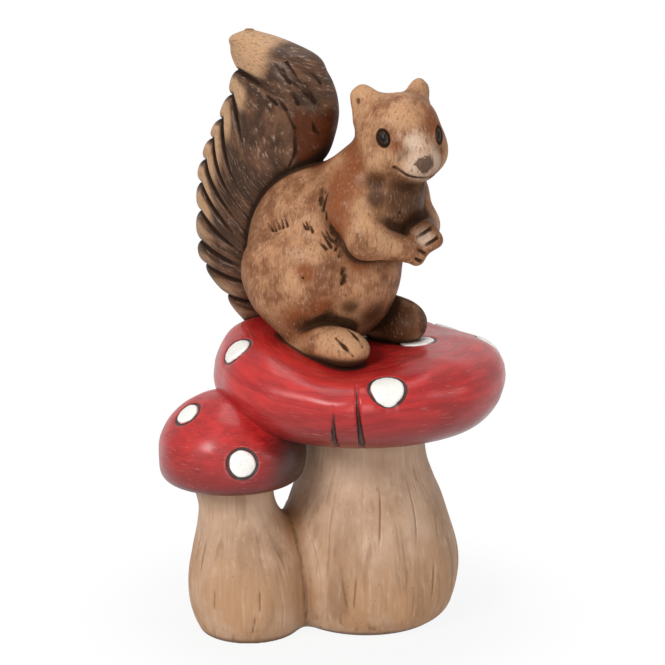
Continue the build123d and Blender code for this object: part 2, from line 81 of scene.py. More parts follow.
class Wire:
    """One output of a material's nodes, on which sums are written as Python writes them"""

    def __init__(self, tree, socket):
        self.tree = tree
        self.socket = socket

    def sum(self, operation, *others, clamp=False):
        """A Math node of this operation on these values or wires"""
        step = self.tree.nodes.new("ShaderNodeMath")
        step.operation = operation
        step.use_clamp = clamp
        for entry, value in zip(step.inputs, others):
            if isinstance(value, Wire):
                self.tree.links.new(value.socket, entry)
            else:
                entry.default_value = value
        return Wire(self.tree, step.outputs[0])

    def __add__(self, other):
        return self.sum("ADD", self, other)

    __radd__ = __add__

    def __sub__(self, other):
        return self.sum("SUBTRACT", self, other)

    def __rsub__(self, other):
        return self.sum("SUBTRACT", other, self)

    def __mul__(self, other):
        return self.sum("MULTIPLY", self, other)

    __rmul__ = __mul__

    def __abs__(self):
        return self.sum("ABSOLUTE", self)

    def over(self, low, high):
        """A soft step that rises from 0 at the low value to 1 at the high one"""
        share = self.sum("DIVIDE", self - low, high - low, clamp=True)
        return share * share * (3 - 2 * share)

    def more(self, other):
        """The greater of this value and another"""
        return self.sum("MAXIMUM", self, other)


def new_node(tree, kind, settings, values):
    """The outputs of a new node, from its type, its settings and what feeds its sockets"""
    made = tree.nodes.new(kind)
    for key, value in (settings or {}).items():
        setattr(made, key, value)
    for key, value in values.items():
        socket = made.inputs[int(key[1:]) if key[1:].isdigit() else key.replace("_", " ")]
        if isinstance(value, Wire):
            value = value.socket
        if isinstance(value, bpy.types.NodeSocket):
            tree.links.new(value, socket)
        elif isinstance(value, tuple) and socket.type == "RGBA":
            socket.default_value = (*value, 1)
        else:
            socket.default_value = value
    return made.outputs


class Finish:
    """A painted finish, built node by node, with its colours laid one over another"""

    def __init__(self, name):
        self.material = bpy.data.materials.new(name)
        self.material.use_nodes = True
        self.tree = self.material.node_tree
        self.tree.nodes.clear()

    def node(self, kind, settings=None, output=0, **values):
        """Any node: its type, its settings, and the values or wires of its sockets by name or number"""
        return Wire(self.tree, new_node(self.tree, kind, settings, values)[output])

    def mark(self, name):
        """A value that the piece's own mesh carries"""
        return self.node("ShaderNodeAttribute", {"attribute_name": name}, output=2)

    def place(self, scale=(1, 1, 1), turn=(0, 0, 0), centre=(0, 0, 0)):
        """Places on the piece in metres, turned and stretched for a pattern"""
        coordinates = self.node("ShaderNodeTexCoord", output=3)
        return self.node(
            "ShaderNodeMapping", Vector=coordinates, Location=centre, Rotation=turn, Scale=scale
        )

    def cloud(self, vector, scale, detail=3.0, roughness=0.55):
        """A cloudy value from 0 to 1"""
        return self.node(
            "ShaderNodeTexNoise", Vector=vector, Scale=scale, Detail=detail, Roughness=roughness
        )

    def start(self, share, first, second):
        """Two colours mixed by a share, as the ground of the paint"""
        self.colour = self.node(
            "ShaderNodeMix", {"data_type": "RGBA"}, output=2, n0=share, n6=first, n7=second
        )

    def lay(self, share, colour):
        """Lays a colour over the paint so far, where and as much as the share says"""
        self.start(share, self.colour, colour)

    def paint(self, roughness, bump, height, **settings):
        """Sets the surface, its bump as high as given in metres, and hands back the material"""
        sockets = {"Base_Color": self.colour, "Roughness": roughness, **settings}
        sockets["Normal"] = self.node("ShaderNodeBump", Strength=1.0, Distance=height, Height=bump)
        return self.close(self.node("ShaderNodeBsdfPrincipled", **sockets))

    def close(self, surface):
        """Ends the finish in this surface and hands back the material"""
        end = self.tree.nodes.new("ShaderNodeOutputMaterial")
        self.tree.links.new(surface.socket, end.inputs["Surface"])
        return self.material


table_mesh = bpy.data.meshes.new("table_top")
table_mesh.from_pydata([(-9, -9, 0), (9, -9, 0), (9, 9, 0), (-9, 9, 0)], [], [(0, 1, 2, 3)])
table_top = bpy.data.objects.new("table_top", table_mesh)
bpy.context.scene.collection.objects.link(table_top)
table_finish = Finish("white_table")
shown_to = ("Is Camera Ray", "Is Glossy Ray", "Is Transmission Ray")
rays = [table_finish.node("ShaderNodeLightPath", output=name) for name in shown_to]
seen = rays[0].more(rays[1]).more(rays[2])
far_off = table_finish.node(
    "ShaderNodeVectorMath", {"operation": "LENGTH"}, output=1, n0=table_finish.place()
)
table_colour = table_finish.node("ShaderNodeBsdfDiffuse", Color=(0.66, 0.66, 0.66))
table_glow = table_finish.node("ShaderNodeEmission", Color=(1, 1, 1), Strength=1.0)
shown = seen * (0.90 + 0.10 * far_off.over(0.06, 0.12))
table_finish.close(table_finish.node("ShaderNodeMixShader", n0=shown, n1=table_colour, n2=table_glow))
table_mesh.materials.append(table_finish.material)

world = bpy.data.worlds.new("studio")
world.use_nodes = True
bpy.context.scene.world = world
world.node_tree.nodes.clear()
room = world.node_tree
paths = room.nodes.new("ShaderNodeLightPath")
rays = [Wire(room, paths.outputs[name]) for name in shown_to]
seen_room = rays[0].more(rays[1]).more(rays[2])
background = room.nodes.new("ShaderNodeBackground")
room.links.new((0.30 + seen_room * 0.70).socket, background.inputs["Strength"])
room.links.new(background.outputs[0], room.nodes.new("ShaderNodeOutputWorld").inputs["Surface"])


# Large stalk. A hollow stalk of cream clay, slip cast, pear shaped over an open foot ring and
# luted under the large cap. Fine upright cracks are cut in it, with thin brown rubbed into them.
def flowing(places, values):
    """A smooth curve through values at places"""
    places = np.asarray(places, float)
    values = np.asarray(values, float)
    slopes = np.gradient(values, places)

    def curve(x):
        x = np.clip(x, places[0], places[-1])
        k = np.clip(np.searchsorted(places, x, side="right") - 1, 0, len(places) - 2)
        gap = places[k + 1] - places[k]
        t = (x - places[k]) / gap
        return (
            (2 * t**3 - 3 * t**2 + 1) * values[k]
            + (t**3 - 2 * t**2 + t) * gap * slopes[k]
            + (3 * t**2 - 2 * t**3) * values[k + 1]
            + (t**3 - t**2) * gap * slopes[k + 1]
        )

    return curve


def step_up(x, low, high):
    """A soft step from 0 at the low value to 1 at the high one"""
    t = np.clip((x - low) / (high - low), 0, 1)
    return t * t * (3 - 2 * t)


def unevenness(points, size, seed):
    """How far hand-smoothed clay swells or sinks at points, from about -0.5 to 0.5"""
    flat = points.reshape(-1, 3) / size + seed * 7.3
    return np.array([noise.noise(p) for p in flat.tolist()]).reshape(points.shape[:-1])


millimetre = 0.001


def clay_piece(name, points, faces):
    """A smooth mesh object from points in millimetres"""
    mesh = bpy.data.meshes.new(name)
    mesh.from_pydata((np.asarray(points) * millimetre).tolist(), [], faces)
    mesh.shade_smooth()
    piece = bpy.data.objects.new(name, mesh)
    bpy.context.scene.collection.objects.link(piece)
    return piece


def carry(piece, name, values):
    """Stores a value at each point of a piece's mesh, for its paint"""
    layer = piece.data.attributes.new(name, "FLOAT", "POINT")
    layer.data.foreach_set("value", np.asarray(values, np.float32).ravel())


def dressed(piece, node, finish=None):
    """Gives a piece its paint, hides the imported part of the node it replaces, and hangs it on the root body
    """
    if finish:
        piece.data.materials.append(finish)
    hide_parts(node)
    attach(piece, "root")


def spun(name, radii, heights, centre):
    """A closed skin from rings about an upright axis; the first and last rings close to points"""
    rings, steps = radii.shape
    turn = np.arange(steps) * 2 * np.pi / steps
    points = np.stack([centre[0] + radii * np.sin(turn), centre[1] - radii * np.cos(turn), heights], -1)
    inner = points[1:-1].reshape(-1, 3)
    points = np.concatenate([points[:1].mean(1), inner, points[-1:].mean(1)])
    step = np.arange(steps)
    after = (step + 1) % steps
    faces = [(0, 1 + a, 1 + b) for a, b in zip(step.tolist(), after.tolist())]
    for ring in range(rings - 3):
        start = 1 + ring * steps
        quads = np.stack([start + step, start + steps + step, start + steps + after, start + after], 1)
        faces += quads.tolist()
    start = 1 + (rings - 3) * steps
    last = len(points) - 1
    faces += [(start + a, last, start + b) for a, b in zip(step.tolist(), after.tolist())]
    return clay_piece(name, points, faces)


def at_points(values):
    """Ring values in the order of the points of a spun skin"""
    return np.concatenate([values[:1, 0], values[1:-1].ravel(), values[-1:, 0]])


def crack_depth(turn, height, radius, cracks):
    """How deep the cracks go at a turn and a height on a stalk, from 0 to 1"""
    deepest = np.zeros(np.broadcast(turn, height).shape)
    for angle, low, high, depth, lean in cracks:
        share = (height - low) / (high - low)
        aside = turn - math.radians(angle) - math.radians(lean) * (share - 0.5)
        aside = (aside + np.pi) % (2 * np.pi) - np.pi
        cut = np.exp(-((aside * radius / 0.45) ** 2))
        ends = step_up(share, 0, 0.25) * step_up(1 - share, 0, 0.35)
        deepest = np.maximum(deepest, depth * cut * ends)
    return deepest


large_stalk_centre = (13.76, 0.0)
large_stalk_radius = flowing(
    [0, 2, 6, 12, 18, 26, 34, 42, 51, 60, 68, 74, 80, 92],
    [31.6, 34.3, 37.2, 39.0, 39.5, 39.0, 37.7, 35.8, 32.8, 28.9, 25.6, 24.5, 24.6, 25.6],
)
# Each crack by its angle from the front, its lower and upper end, its depth and its lean
stalk_cracks = [
    (10, 38, 66, 1.0, 4), (-13.7, 12, 31, 0.9, -5), (-7, 12, 31, 1.0, 2), (-26, 22, 66, 0.7, -3),
    (45.5, 13, 33, 0.9, 5), (57, 38, 53, 0.8, 6), (38, 36, 70, 0.7, 7), (-3, 32, 74, 0.45, 1),
    (-33, 52, 72, 0.5, 0), (22, 30, 52, 0.5, -2), (30, 8, 24, 0.5, 3), (70, 12, 40, 0.7, 4),
]
chance = np.random.default_rng(11)
for angle in np.arange(84, 318, 7.5):
    low = chance.uniform(6, 45)
    near = angle + chance.uniform(-3, 3)
    high = low + chance.uniform(14, 32)
    stalk_cracks.append((near, low, high, chance.uniform(0.35, 1), chance.uniform(-5, 5)))
for angle in np.arange(-48, 84, 4.1):
    low = chance.uniform(3, 60)
    high = low + chance.uniform(8, 22)
    stalk_cracks.append((angle, low, high, chance.uniform(0.12, 0.3), chance.uniform(-3, 3)))

stalk_wall = 6
stalk_steps = 520
stalk_height = 91
outer_heights = np.linspace(stalk_height, 0, 150)
profile = np.array(
    [(0, stalk_height), (12, stalk_height)]
    + [(float(large_stalk_radius(h)), h) for h in outer_heights]
    + [(30.6, 0), (29, 0), (27.2, 0), (26.4, 1)]
    + [(float(large_stalk_radius(h)) - stalk_wall, h) for h in np.linspace(3, 82, 22)]
    + [(17, 85.5), (10, 86.5), (0, 86.5)]
)
turn = np.arange(stalk_steps) * 2 * np.pi / stalk_steps
radii = np.repeat(profile[:, :1], stalk_steps, 1)
heights = np.repeat(profile[:, 1:], stalk_steps, 1)
outside = np.zeros(len(profile))
outside[2 : 2 + len(outer_heights)] = 1
around = np.stack([radii * np.sin(turn), -radii * np.cos(turn), heights], -1)
cracks = crack_depth(turn, heights, radii, stalk_cracks) * outside[:, None]
grounded = step_up(heights, 0.2, 5)
swell = unevenness(around, 26, 1) * 1.5 + unevenness(around * (1, 1, 0.25), 7, 2) * 0.45
radii = radii + outside[:, None] * (swell * grounded - cracks * 0.75)
large_stalk = spun("large_stalk_body", radii, heights, large_stalk_centre)
carry(large_stalk, "crack", at_points(cracks))


def large_stalk_form(points):
    """Distance outside the large stalk's skin, in millimetres"""
    away = np.hypot(points[..., 0] - large_stalk_centre[0], points[..., 1] - large_stalk_centre[1])
    return (away - large_stalk_radius(points[..., 2])) * 0.92


# The small stalk's form is given here, for the valley where the two meet
small_stalk_foot = np.array([large_stalk_centre[0] - 47, -20.0, 0])
small_stalk_lean = math.radians(7)
small_stalk_along = np.array([-math.sin(small_stalk_lean), 0, math.cos(small_stalk_lean)])
small_stalk_radius = flowing(
    [-4, 0, 2, 6, 12, 20, 28, 38, 48, 56, 63, 72],
    [18, 20.6, 21.8, 23.4, 24.5, 24.7, 23.8, 20.8, 17.6, 16.2, 16.6, 18.2],
)


def small_stalk_form(points):
    """Distance outside the small stalk's skin, in millimetres"""
    from_foot = points - small_stalk_foot
    along = from_foot @ small_stalk_along
    away = np.linalg.norm(from_foot - along[..., None] * small_stalk_along, axis=-1)
    return (away - small_stalk_radius(along)) * 0.95


def mesh_points(piece):
    """The points of a piece's mesh, in millimetres"""
    flat = np.empty(len(piece.data.vertices) * 3, np.float32)
    piece.data.vertices.foreach_get("co", flat)
    return flat.reshape(-1, 3).astype(float) / millimetre


def rubbed_cream(name):
    """Cream clay with brown rubbed into its grain and its cracks, darker in the valley and in a thin band at
    the foot
    """
    finish = Finish(name)
    place = finish.place()
    grain = finish.cloud(finish.place((1, 1, 0.07)), 560, 4, 0.62)
    hair = finish.cloud(finish.place((1, 1, 0.035), centre=(0.3, 0.1, 0)), 260, 2, 0.5)
    smears = finish.cloud(finish.place((1, 1, 0.22)), 90, 3, 0.6)
    patches = finish.cloud(place, 38, 3, 0.6)
    specks = finish.cloud(place, 900, 2, 0.5)
    height = finish.node("ShaderNodeSeparateXYZ", output=2, Vector=place)
    low = 1 - height.over(0.008, 0.060)
    finish.start(patches.over(0.35, 0.65), (0.60, 0.40, 0.275), (0.47, 0.295, 0.19))
    finish.lay(low * (0.35 + 0.5 * patches.over(0.4, 0.6)), (0.50, 0.275, 0.14))
    finish.lay(smears.over(0.48, 0.7) * (0.35 + 0.35 * low), (0.28, 0.15, 0.078))
    finish.lay(grain.over(0.52, 0.78) * (0.16 + 0.22 * low), (0.30, 0.15, 0.07))
    finish.lay(grain.over(0.46, 0.3) * 0.3, (0.72, 0.53, 0.39))
    finish.lay(hair.over(0.56, 0.72) * (0.3 + 0.3 * low), (0.22, 0.11, 0.05))
    # Darker towards the valley between the stalks, deepest at its bottom
    valleys = finish.mark("valley").over(0.08, 0.6) * (0.55 + 0.45 * patches.over(0.35, 0.6))
    finish.lay(valleys * 0.85, (0.27, 0.125, 0.05))
    deepest = finish.mark("valley").over(0.6, 1.0) * (0.35 + 0.5 * grain.over(0.4, 0.6))
    finish.lay(deepest, (0.10, 0.045, 0.018))
    finish.lay(finish.mark("crack").over(0.2, 0.95) * 0.72, (0.17, 0.08, 0.033))
    # Darker in a thin band at the very foot
    finish.lay((1 - height.over(0.0005, 0.0034)) * 0.85, (0.10, 0.05, 0.025))
    finish.lay(specks.over(0.66, 0.76) * 0.4, (0.22, 0.11, 0.05))
    relief = grain * 0.5 + smears * 0.3 + patches * 0.8 - hair * 0.3 - specks.over(0.66, 0.76) * 0.3
    return finish.paint(
        0.55 + grain * 0.2, relief, 0.0003,
        Specular_IOR_Level=0.25, Coat_Weight=0.08, Coat_Roughness=0.4,
    )


def in_valley(points):
    """How near points are to the valley between the two stalks, where the clay is painted darker, from 0 to 1
    """
    away = np.maximum(small_stalk_form(points), large_stalk_form(points))
    return np.exp(-np.maximum(away - 2, 0) / 4)


carry(large_stalk, "valley", in_valley(mesh_points(large_stalk)))
dressed(large_stalk, "large_stalk", rubbed_cream("large_stalk_clay"))


# Small stalk. Cream clay too, cast in the same way and leaning out to the left. It is luted to the
# side of the large one with a soft fillet of clay in the valley between them.
def melt(first, second, width):
    """Two forms run together, with a fillet of about this width"""
    near = np.maximum(width - abs(first - second), 0) / width
    return np.minimum(first, second) - near * near * width / 4


def press(form, tool, width):
    """A form with a tool pressed into it, its edge rounded by this width"""
    return -melt(-form, tool, width)


def skin(name, form, low, high, step, turned=None):
    """A closed skin where a form's distance is nothing, between two corners, on cubes of a step"""
    axes = [np.arange(a - 2 * step, b + 2.5 * step, step) for a, b in zip(low, high)]
    values = np.empty([len(axis) for axis in axes], np.float32)
    for start in range(0, len(axes[0]), 16):
        grid = np.stack(np.meshgrid(axes[0][start : start + 16], axes[1], axes[2], indexing="ij"), -1)
        values[start : start + 16] = form(grid)
    values = np.clip(values, -3 * step, 3 * step)
    for axis in range(3):
        edge = np.moveaxis(values, axis, 0)
        edge[0] = edge[-1] = 3 * step
    volume = openvdb.FloatGrid(3 * step)
    volume.copyFromArray(values)
    points, triangles, quads = volume.convertToPolygons(0, 0)
    points = points * step + np.array([axis[0] for axis in axes])
    if turned is not None:
        points = points @ np.array(turned.to_3x3()).T + np.array(turned.translation)
    faces = quads.tolist() + triangles.tolist()
    return clay_piece(name, points, faces)


valley_fillet = 9


def mesh_normals(piece):
    """The way out at each point of a piece's mesh"""
    flat = np.empty(len(piece.data.vertices) * 3, np.float32)
    piece.data.vertex_normals.foreach_get("vector", flat)
    return flat.reshape(-1, 3)


def move_out(piece, amount):
    """Moves the points of a piece along their normals by an amount in millimetres"""
    moved = (mesh_points(piece) + mesh_normals(piece) * amount[:, None]) * millimetre
    piece.data.vertices.foreach_set("co", moved.astype(np.float32).ravel())


def small_stalk_skin(points):
    """The small stalk with its hollow, its flat ends and its fillet on to the large one"""
    own = small_stalk_form(points)
    other = large_stalk_form(points)
    height = points[..., 2]
    whole = melt(own, other, valley_fillet) + 0.06 * np.maximum(own - 6, 0)
    whole = np.maximum(np.maximum(whole, own - valley_fillet), -(other + 3))
    hollow = np.maximum(np.maximum(own + stalk_wall, height - 62), 4 - other)
    return np.maximum(np.maximum(np.maximum(whole, -hollow), -height), height - 71)


small_stalk = skin("small_stalk_body", small_stalk_skin, (-66, -48, 0), (-4, 10, 71), 0.7)
points = mesh_points(small_stalk)
from_foot = points - small_stalk_foot
upright = from_foot[:, 0] + points[:, 2] * math.tan(small_stalk_lean)
turn = np.arctan2(upright, -from_foot[:, 1])
away = np.hypot(upright, from_foot[:, 1])
small_cracks = [
    (14, 14, 27, 1.0, 4), (-48, 27, 46, 0.9, 3), (5, 4, 16, 1.0, 8), (-31.6, 13, 26, 0.9, 4),
    (-14, 33, 56, 0.5, 2), (24, 30, 52, 0.5, 6), (-70, 10, 30, 0.7, 2), (36, 6, 20, 0.5, 4),
]
for angle in np.arange(-180, -60, 9.0):
    low = chance.uniform(5, 30)
    high = low + chance.uniform(12, 24)
    small_cracks.append((angle, low, high, chance.uniform(0.3, 0.9), chance.uniform(-4, 4)))
for angle in np.arange(-60, 60, 6.0):
    low = chance.uniform(3, 40)
    high = low + chance.uniform(8, 18)
    small_cracks.append((angle, low, high, chance.uniform(0.12, 0.3), chance.uniform(-3, 3)))
skin_side = step_up(-abs(small_stalk_form(points)), -3, -1)
cracks = crack_depth(turn, points[:, 2], away, small_cracks) * skin_side
grounded = step_up(points[:, 2], 0.4, 5) * step_up(-points[:, 2], -71, -66)
swell = unevenness(points, 22, 3) * 1.3 + unevenness(points * (1, 1, 0.25), 7, 4) * 0.4
move_out(small_stalk, skin_side * grounded * (swell - cracks * 0.7))
carry(small_stalk, "crack", cracks)
carry(small_stalk, "valley", in_valley(points))
dressed(small_stalk, "small_stalk", rubbed_cream("small_stalk_clay"))


# Large cap. A hollow cushion of clay with a full round rim, higher at its left shoulder, flat
# beneath and slightly dished on top. Two knife slits are cut in the front of the rim, and each
# spot has a ring groove round it. It is luted on its stalk, brushed with deep red and glazed.
large_cap_centre = (11.76, 0.0)
rim_ring = 42.0
rim_round = 19.0
rim_height = 104.5
rim_squareness = 2.15
seat_height = 117.5
crest_rise = flowing(
    [-180, -150, -120, -95, -70, -50, -32, -14, 6, 30, 60, 90, 120, 150, 180],
    [14.5, 16.5, 19.5, 21.5, 20.5, 17.0, 13.0, 11.0, 12.0, 14.0, 14.5, 14.0, 13.5, 13.5, 14.5],
)


def cap_crown(angle, reach):
    """Height of the large cap's top at an angle in degrees and a reach from its middle"""
    rise = crest_rise(angle)
    dip = seat_height + (rim_height + rise - seat_height) * step_up(reach, 0, rim_ring)
    beyond = np.clip((reach - rim_ring) / rim_round, 0, 1)
    rim = rim_height + rise * (1 - beyond**rim_squareness) ** (1 / rim_squareness)
    return np.where(reach > rim_ring, rim, dip)


def on_cap(centre, angle, reach, height):
    """A point on a cap from its angle in degrees, its reach and its height"""
    turn = np.radians(angle)
    ahead = centre[1] - reach * np.cos(turn)
    return np.stack(np.broadcast_arrays(centre[0] + reach * np.sin(turn), ahead, height), -1)


def pushed(reach, height, amount):
    """Rings of a cap moved outwards by an amount, square to the skin"""
    out = np.gradient(-height, axis=0)
    up = np.gradient(reach, axis=0)
    size = np.maximum(np.hypot(out, up), 1e-6)
    return reach + amount * out / size, height + amount * up / size


def settled(seats, surface):
    """The seats of the spots brought on to the uneven surface of a cap"""
    surface = surface.reshape(-1, 3)
    return [surface[np.argmin(np.linalg.norm(surface - seat, axis=1))] for seat in seats]


groove_depth = 0.85
groove_width = 0.62
seat_depth = 0.5


def ring_groove(points, seats, radii):
    """How deep the groove round each spot is, and how far its seat is let in, in millimetres"""
    cut = np.zeros(points.shape[:-1])
    for seat, radius in zip(seats, radii):
        away = np.linalg.norm(points - seat, axis=-1)
        cut = np.maximum(cut, groove_depth * np.exp(-(((away - radius - 0.6) / groove_width) ** 2)))
        cut = np.maximum(cut, seat_depth * step_up(radius + 0.4 - away, 0, 0.8))
    return cut


def turned_angles(steps):
    """Even angles all round in degrees, from -180 to 180"""
    return (np.degrees(np.arange(steps) * 2 * np.pi / steps) + 180) % 360 - 180


def along_skin(reach, height):
    """How far each ring is from the first, along the skin in millimetres"""
    steps = np.hypot(np.diff(reach, axis=0, prepend=0), np.diff(height, axis=0, prepend=height[:1]))
    return np.cumsum(steps, 0)


angles = turned_angles(560)
rim_turn = np.linspace(0, np.pi / 2, 64)
crown_reach = np.concatenate([np.linspace(0, 41, 54)[:-1], 61 - 20 * np.cos(rim_turn)[:-1]])
under_turn = np.linspace(0, np.pi / 2, 34)[:, None]
inward = np.linspace(0, 1, 14)[1:, None]
whole_turn = np.ones((1, len(angles)))
under_reach = rim_ring + rim_round * np.cos(under_turn)
reach = np.concatenate([crown_reach[:, None], under_reach, rim_ring * (1 - inward)]) * whole_turn
height = np.concatenate(
    [
        cap_crown(angles[None], crown_reach[:, None]),
        (rim_height - rim_round * np.sin(under_turn)) * whole_turn,
        (rim_height - rim_round + 7 * step_up(inward, 0, 0.45)) * whole_turn,
    ]
)
# Each spot by its angle round the cap, its reach from the middle and its radius
large_spots = [
    (9.6, 56.2, 6.6), (-69, 54.9, 6.0), (104, 57.5, 7.2), (134, 55.7, 7.2),
    (176, 59.1, 7.4), (-132, 57.0, 7.4), (86, 23.3, 7.2),
]
large_seats = [on_cap(large_cap_centre, a, r, cap_crown(a, r)) for a, r, _ in large_spots]
large_radii = [radius for _, _, radius in large_spots]


def knife_slit(foot_angle, top_angle, low, high, width):
    """How deep a slit that narrows upwards is over the rings of the large cap, from 0 to 1"""
    share = np.clip((height - low) / (high - low), 0, 1)
    half = width / 2 * (1 - share) ** 0.7 * step_up(share, -0.1, 0.12)
    aside = abs(np.radians(angles - foot_angle - (top_angle - foot_angle) * share)) * reach
    ends = step_up(share, 0, 0.05) * step_up(1 - share, 0, 0.05)
    return step_up(half - aside, -0.5, 0.6) * ends * (reach > 46)


slits = knife_slit(-12.2, -10.8, 85.8, 105.0, 2.6)
slits = np.maximum(slits, knife_slit(-0.2, -2.9, 85.8, 115.0, 3.0))
slit_depth = 2.0
around = on_cap(large_cap_centre, angles, reach, height)
lumps = unevenness(around, 34, 5) * 1.7 + unevenness(around, 12, 6) * 0.5
moved = lumps * step_up(reach, 4, 34) * step_up(height, 86, 96)
large_seats = settled(large_seats, on_cap(large_cap_centre, angles, *pushed(reach, height, moved)))
moved = moved - slits * slit_depth - ring_groove(around, large_seats, large_radii)
large_cap = spun("large_cap_body", *pushed(reach, height, moved), large_cap_centre)
carry(large_cap, "slit", at_points(slits))
carry(large_cap, "across", at_points(along_skin(reach, height)))


def brushed_red(name, centre, base, seats, radii):
    """Deep red laid on with a bristle brush that was drawn round the cap, under a clear glaze"""
    finish = Finish(name)
    place = finish.place()
    from_middle = finish.place(centre=(-centre[0] * millimetre, -centre[1] * millimetre, 0))
    flat = finish.node("ShaderNodeVectorMath", {"operation": "MULTIPLY"}, n0=from_middle, n1=(1, 1, 0))
    ahead = finish.node("ShaderNodeVectorMath", {"operation": "NORMALIZE"}, n0=flat)
    sides = [finish.node("ShaderNodeSeparateXYZ", output=k, Vector=ahead) for k in (0, 1)]
    across = finish.mark("across")
    broad = finish.node("ShaderNodeCombineXYZ", X=sides[0] * 3.2, Y=sides[1] * 3.2, Z=across * 0.28)
    fine = finish.node("ShaderNodeCombineXYZ", X=sides[0] * 7, Y=sides[1] * 7, Z=across * 1.5)
    strokes = finish.cloud(broad, 1.0, 3, 0.55)
    bristles = finish.cloud(fine, 1.0, 4, 0.65)
    patches = finish.cloud(place, 45, 3, 0.6)
    specks = finish.cloud(place, 520, 2, 0.6)
    wash = finish.mark("wash")
    height = finish.node("ShaderNodeSeparateXYZ", output=2, Vector=place)
    # Darker towards the lower part of the rim, which faces down: painted shade
    low = 1 - height.over(base + 0.002, base + 0.022)
    finish.start(strokes.over(0.3, 0.7), (0.36, 0.008, 0.008), (0.56, 0.020, 0.018))
    finish.lay(patches.over(0.5, 0.75) * 0.5, (0.24, 0.008, 0.006))
    finish.lay(low * (0.45 + strokes * 0.6), (0.15, 0.012, 0.010))
    # Pink dry-brushed streaks and specks: partly real paint, partly a painted highlight for the glaze's sheen
    worn_and_sheen = (bristles.over(0.57, 0.72) * patches.over(0.40, 0.60)).more(specks.over(0.70, 0.78) * 0.6)
    finish.lay(worn_and_sheen * 0.5, (0.72, 0.22, 0.19))
    finish.lay(bristles.over(0.42, 0.24) * 0.55, (0.11, 0.006, 0.006))
    # The wash mark here is painted contact shade round the squirrel and painted shade under the rims
    finish.lay(wash.over(0.1, 0.9) * 0.93, (0.030, 0.014, 0.010))
    rings = finish.mark("slit")
    for seat, radius in zip(seats, radii):
        away = finish.node(
            "ShaderNodeVectorMath", {"operation": "DISTANCE"}, output=1, n0=place, n1=tuple(seat * millimetre)
        )
        rings = rings.more(1 - (abs(away * 1000 - (radius + 0.75)) * 1.25).over(0.45, 1.15))
    finish.lay(rings.over(0.2, 0.8) * 0.96, (0.022, 0.010, 0.008))
    relief = strokes * 0.9 + bristles * 0.55 - specks.over(0.72, 0.8) * 0.25
    return finish.paint(
        0.34 + bristles * 0.25, relief, 0.0007,
        Coat_Weight=0.6, Coat_Roughness=0.27, Specular_IOR_Level=0.2,
    )


large_red = brushed_red("large_cap_red", large_cap_centre, 0.0855, large_seats, large_radii)
dressed(large_cap, "large_cap", large_red)


# Small cap. A hollow dome of clay with a short rolled lip, luted on its stalk and tucked under the large
# rim. Its right side, in the shadow of the large rim, and its lip are darkened with painted shade.
small_cap_centre = (small_stalk_foot[0] - 69 * math.tan(small_stalk_lean), small_stalk_foot[1])
lip_radius = 31
lip_inner = 25.5
lip_height = 75
dome_turn = np.linspace(0, np.pi / 2, 76)[:, None]
lip_turn = np.linspace(0, np.pi / 2, 16)[1:, None]
inward = np.linspace(0, 1, 12)[1:, None]
angles = turned_angles(400)
whole_turn = np.ones((1, len(angles)))
dome_reach = lip_radius * np.sin(dome_turn) ** 0.94
lip_reach = lip_inner + (lip_radius - lip_inner) * np.cos(lip_turn)
reach = np.concatenate([dome_reach, lip_reach, lip_inner * (1 - inward)]) * whole_turn
dome_height = lip_height + 27.2 * np.cos(dome_turn) ** 1.06
under_height = lip_height - 9 + 4 * step_up(inward, 0, 0.4)
height = np.concatenate([dome_height, lip_height - 9 * np.sin(lip_turn), under_height]) * whole_turn
around = on_cap(small_cap_centre, angles, reach, height)
# Each spot by its place and its radius
small_spots = [
    ((-35.93, -49.77, 80.61), 5.3), ((-59.14, -29.66, 95.68), 5.0),
    ((-68.02, -6.01, 82.44), 5.4), ((-45.11, 4.19, 91.62), 5.6),
]
small_seats = [np.array(seat) for seat, _ in small_spots]
small_radii = [radius for _, radius in small_spots]
moved = unevenness(around, 22, 7) * 1.2 + unevenness(around, 9, 8) * 0.4
moved = moved * step_up(reach, 2, 14) * step_up(height, 66, 74)
moved = moved - ring_groove(around, small_seats, small_radii)
small_cap = spun("small_cap_body", *pushed(reach, height, moved), small_cap_centre)
carry(small_cap, "across", at_points(along_skin(reach, height)))
small_red = brushed_red("small_cap_red", small_cap_centre, 0.066, small_seats, small_radii)
dressed(small_cap, "small_cap", small_red)


# Spots. Discs of white slip pressed into their seats on each cap, a little uneven at the edge. Each
# face follows the curve of the cap, and the groove round it keeps a dark line.
def node_tree(name, sockets):
    """An empty Geometry Nodes tree with named inputs, and its first and last nodes"""
    tree = bpy.data.node_groups.new(name, "GeometryNodeTree")
    tree.interface.new_socket("Geometry", in_out="INPUT", socket_type="NodeSocketGeometry")
    for socket, kind in sockets:
        tree.interface.new_socket(socket, in_out="INPUT", socket_type=kind)
    tree.interface.new_socket("Geometry", in_out="OUTPUT", socket_type="NodeSocketGeometry")
    return tree, tree.nodes.new("NodeGroupInput").outputs, tree.nodes.new("NodeGroupOutput")


def made_plain(piece, tree, inputs):
    """Runs a tree on a piece with these inputs, and keeps its result as a plain mesh"""
    modifier = piece.modifiers.new(tree.name, "NODES")
    modifier.node_group = tree
    named = {item.name: item.identifier for item in tree.interface.items_tree if item.in_out == "INPUT"}
    for socket, value in inputs.items():
        modifier[named[socket]] = value
    bpy.context.view_layer.update()
    result = piece.evaluated_get(bpy.context.evaluated_depsgraph_get())
    mesh = bpy.data.meshes.new_from_object(result)
    piece.modifiers.remove(modifier)
    piece.data = mesh
    mesh.shade_smooth()


spot_tree, given, handed = node_tree(
    "pressed_spots",
    [
        ("Disc", "NodeSocketObject"),
        ("Cap", "NodeSocketObject"),
        ("Unevenness", "NodeSocketFloat"),
        ("Seed", "NodeSocketInt"),
        ("Finish", "NodeSocketMaterial"),
    ],
)


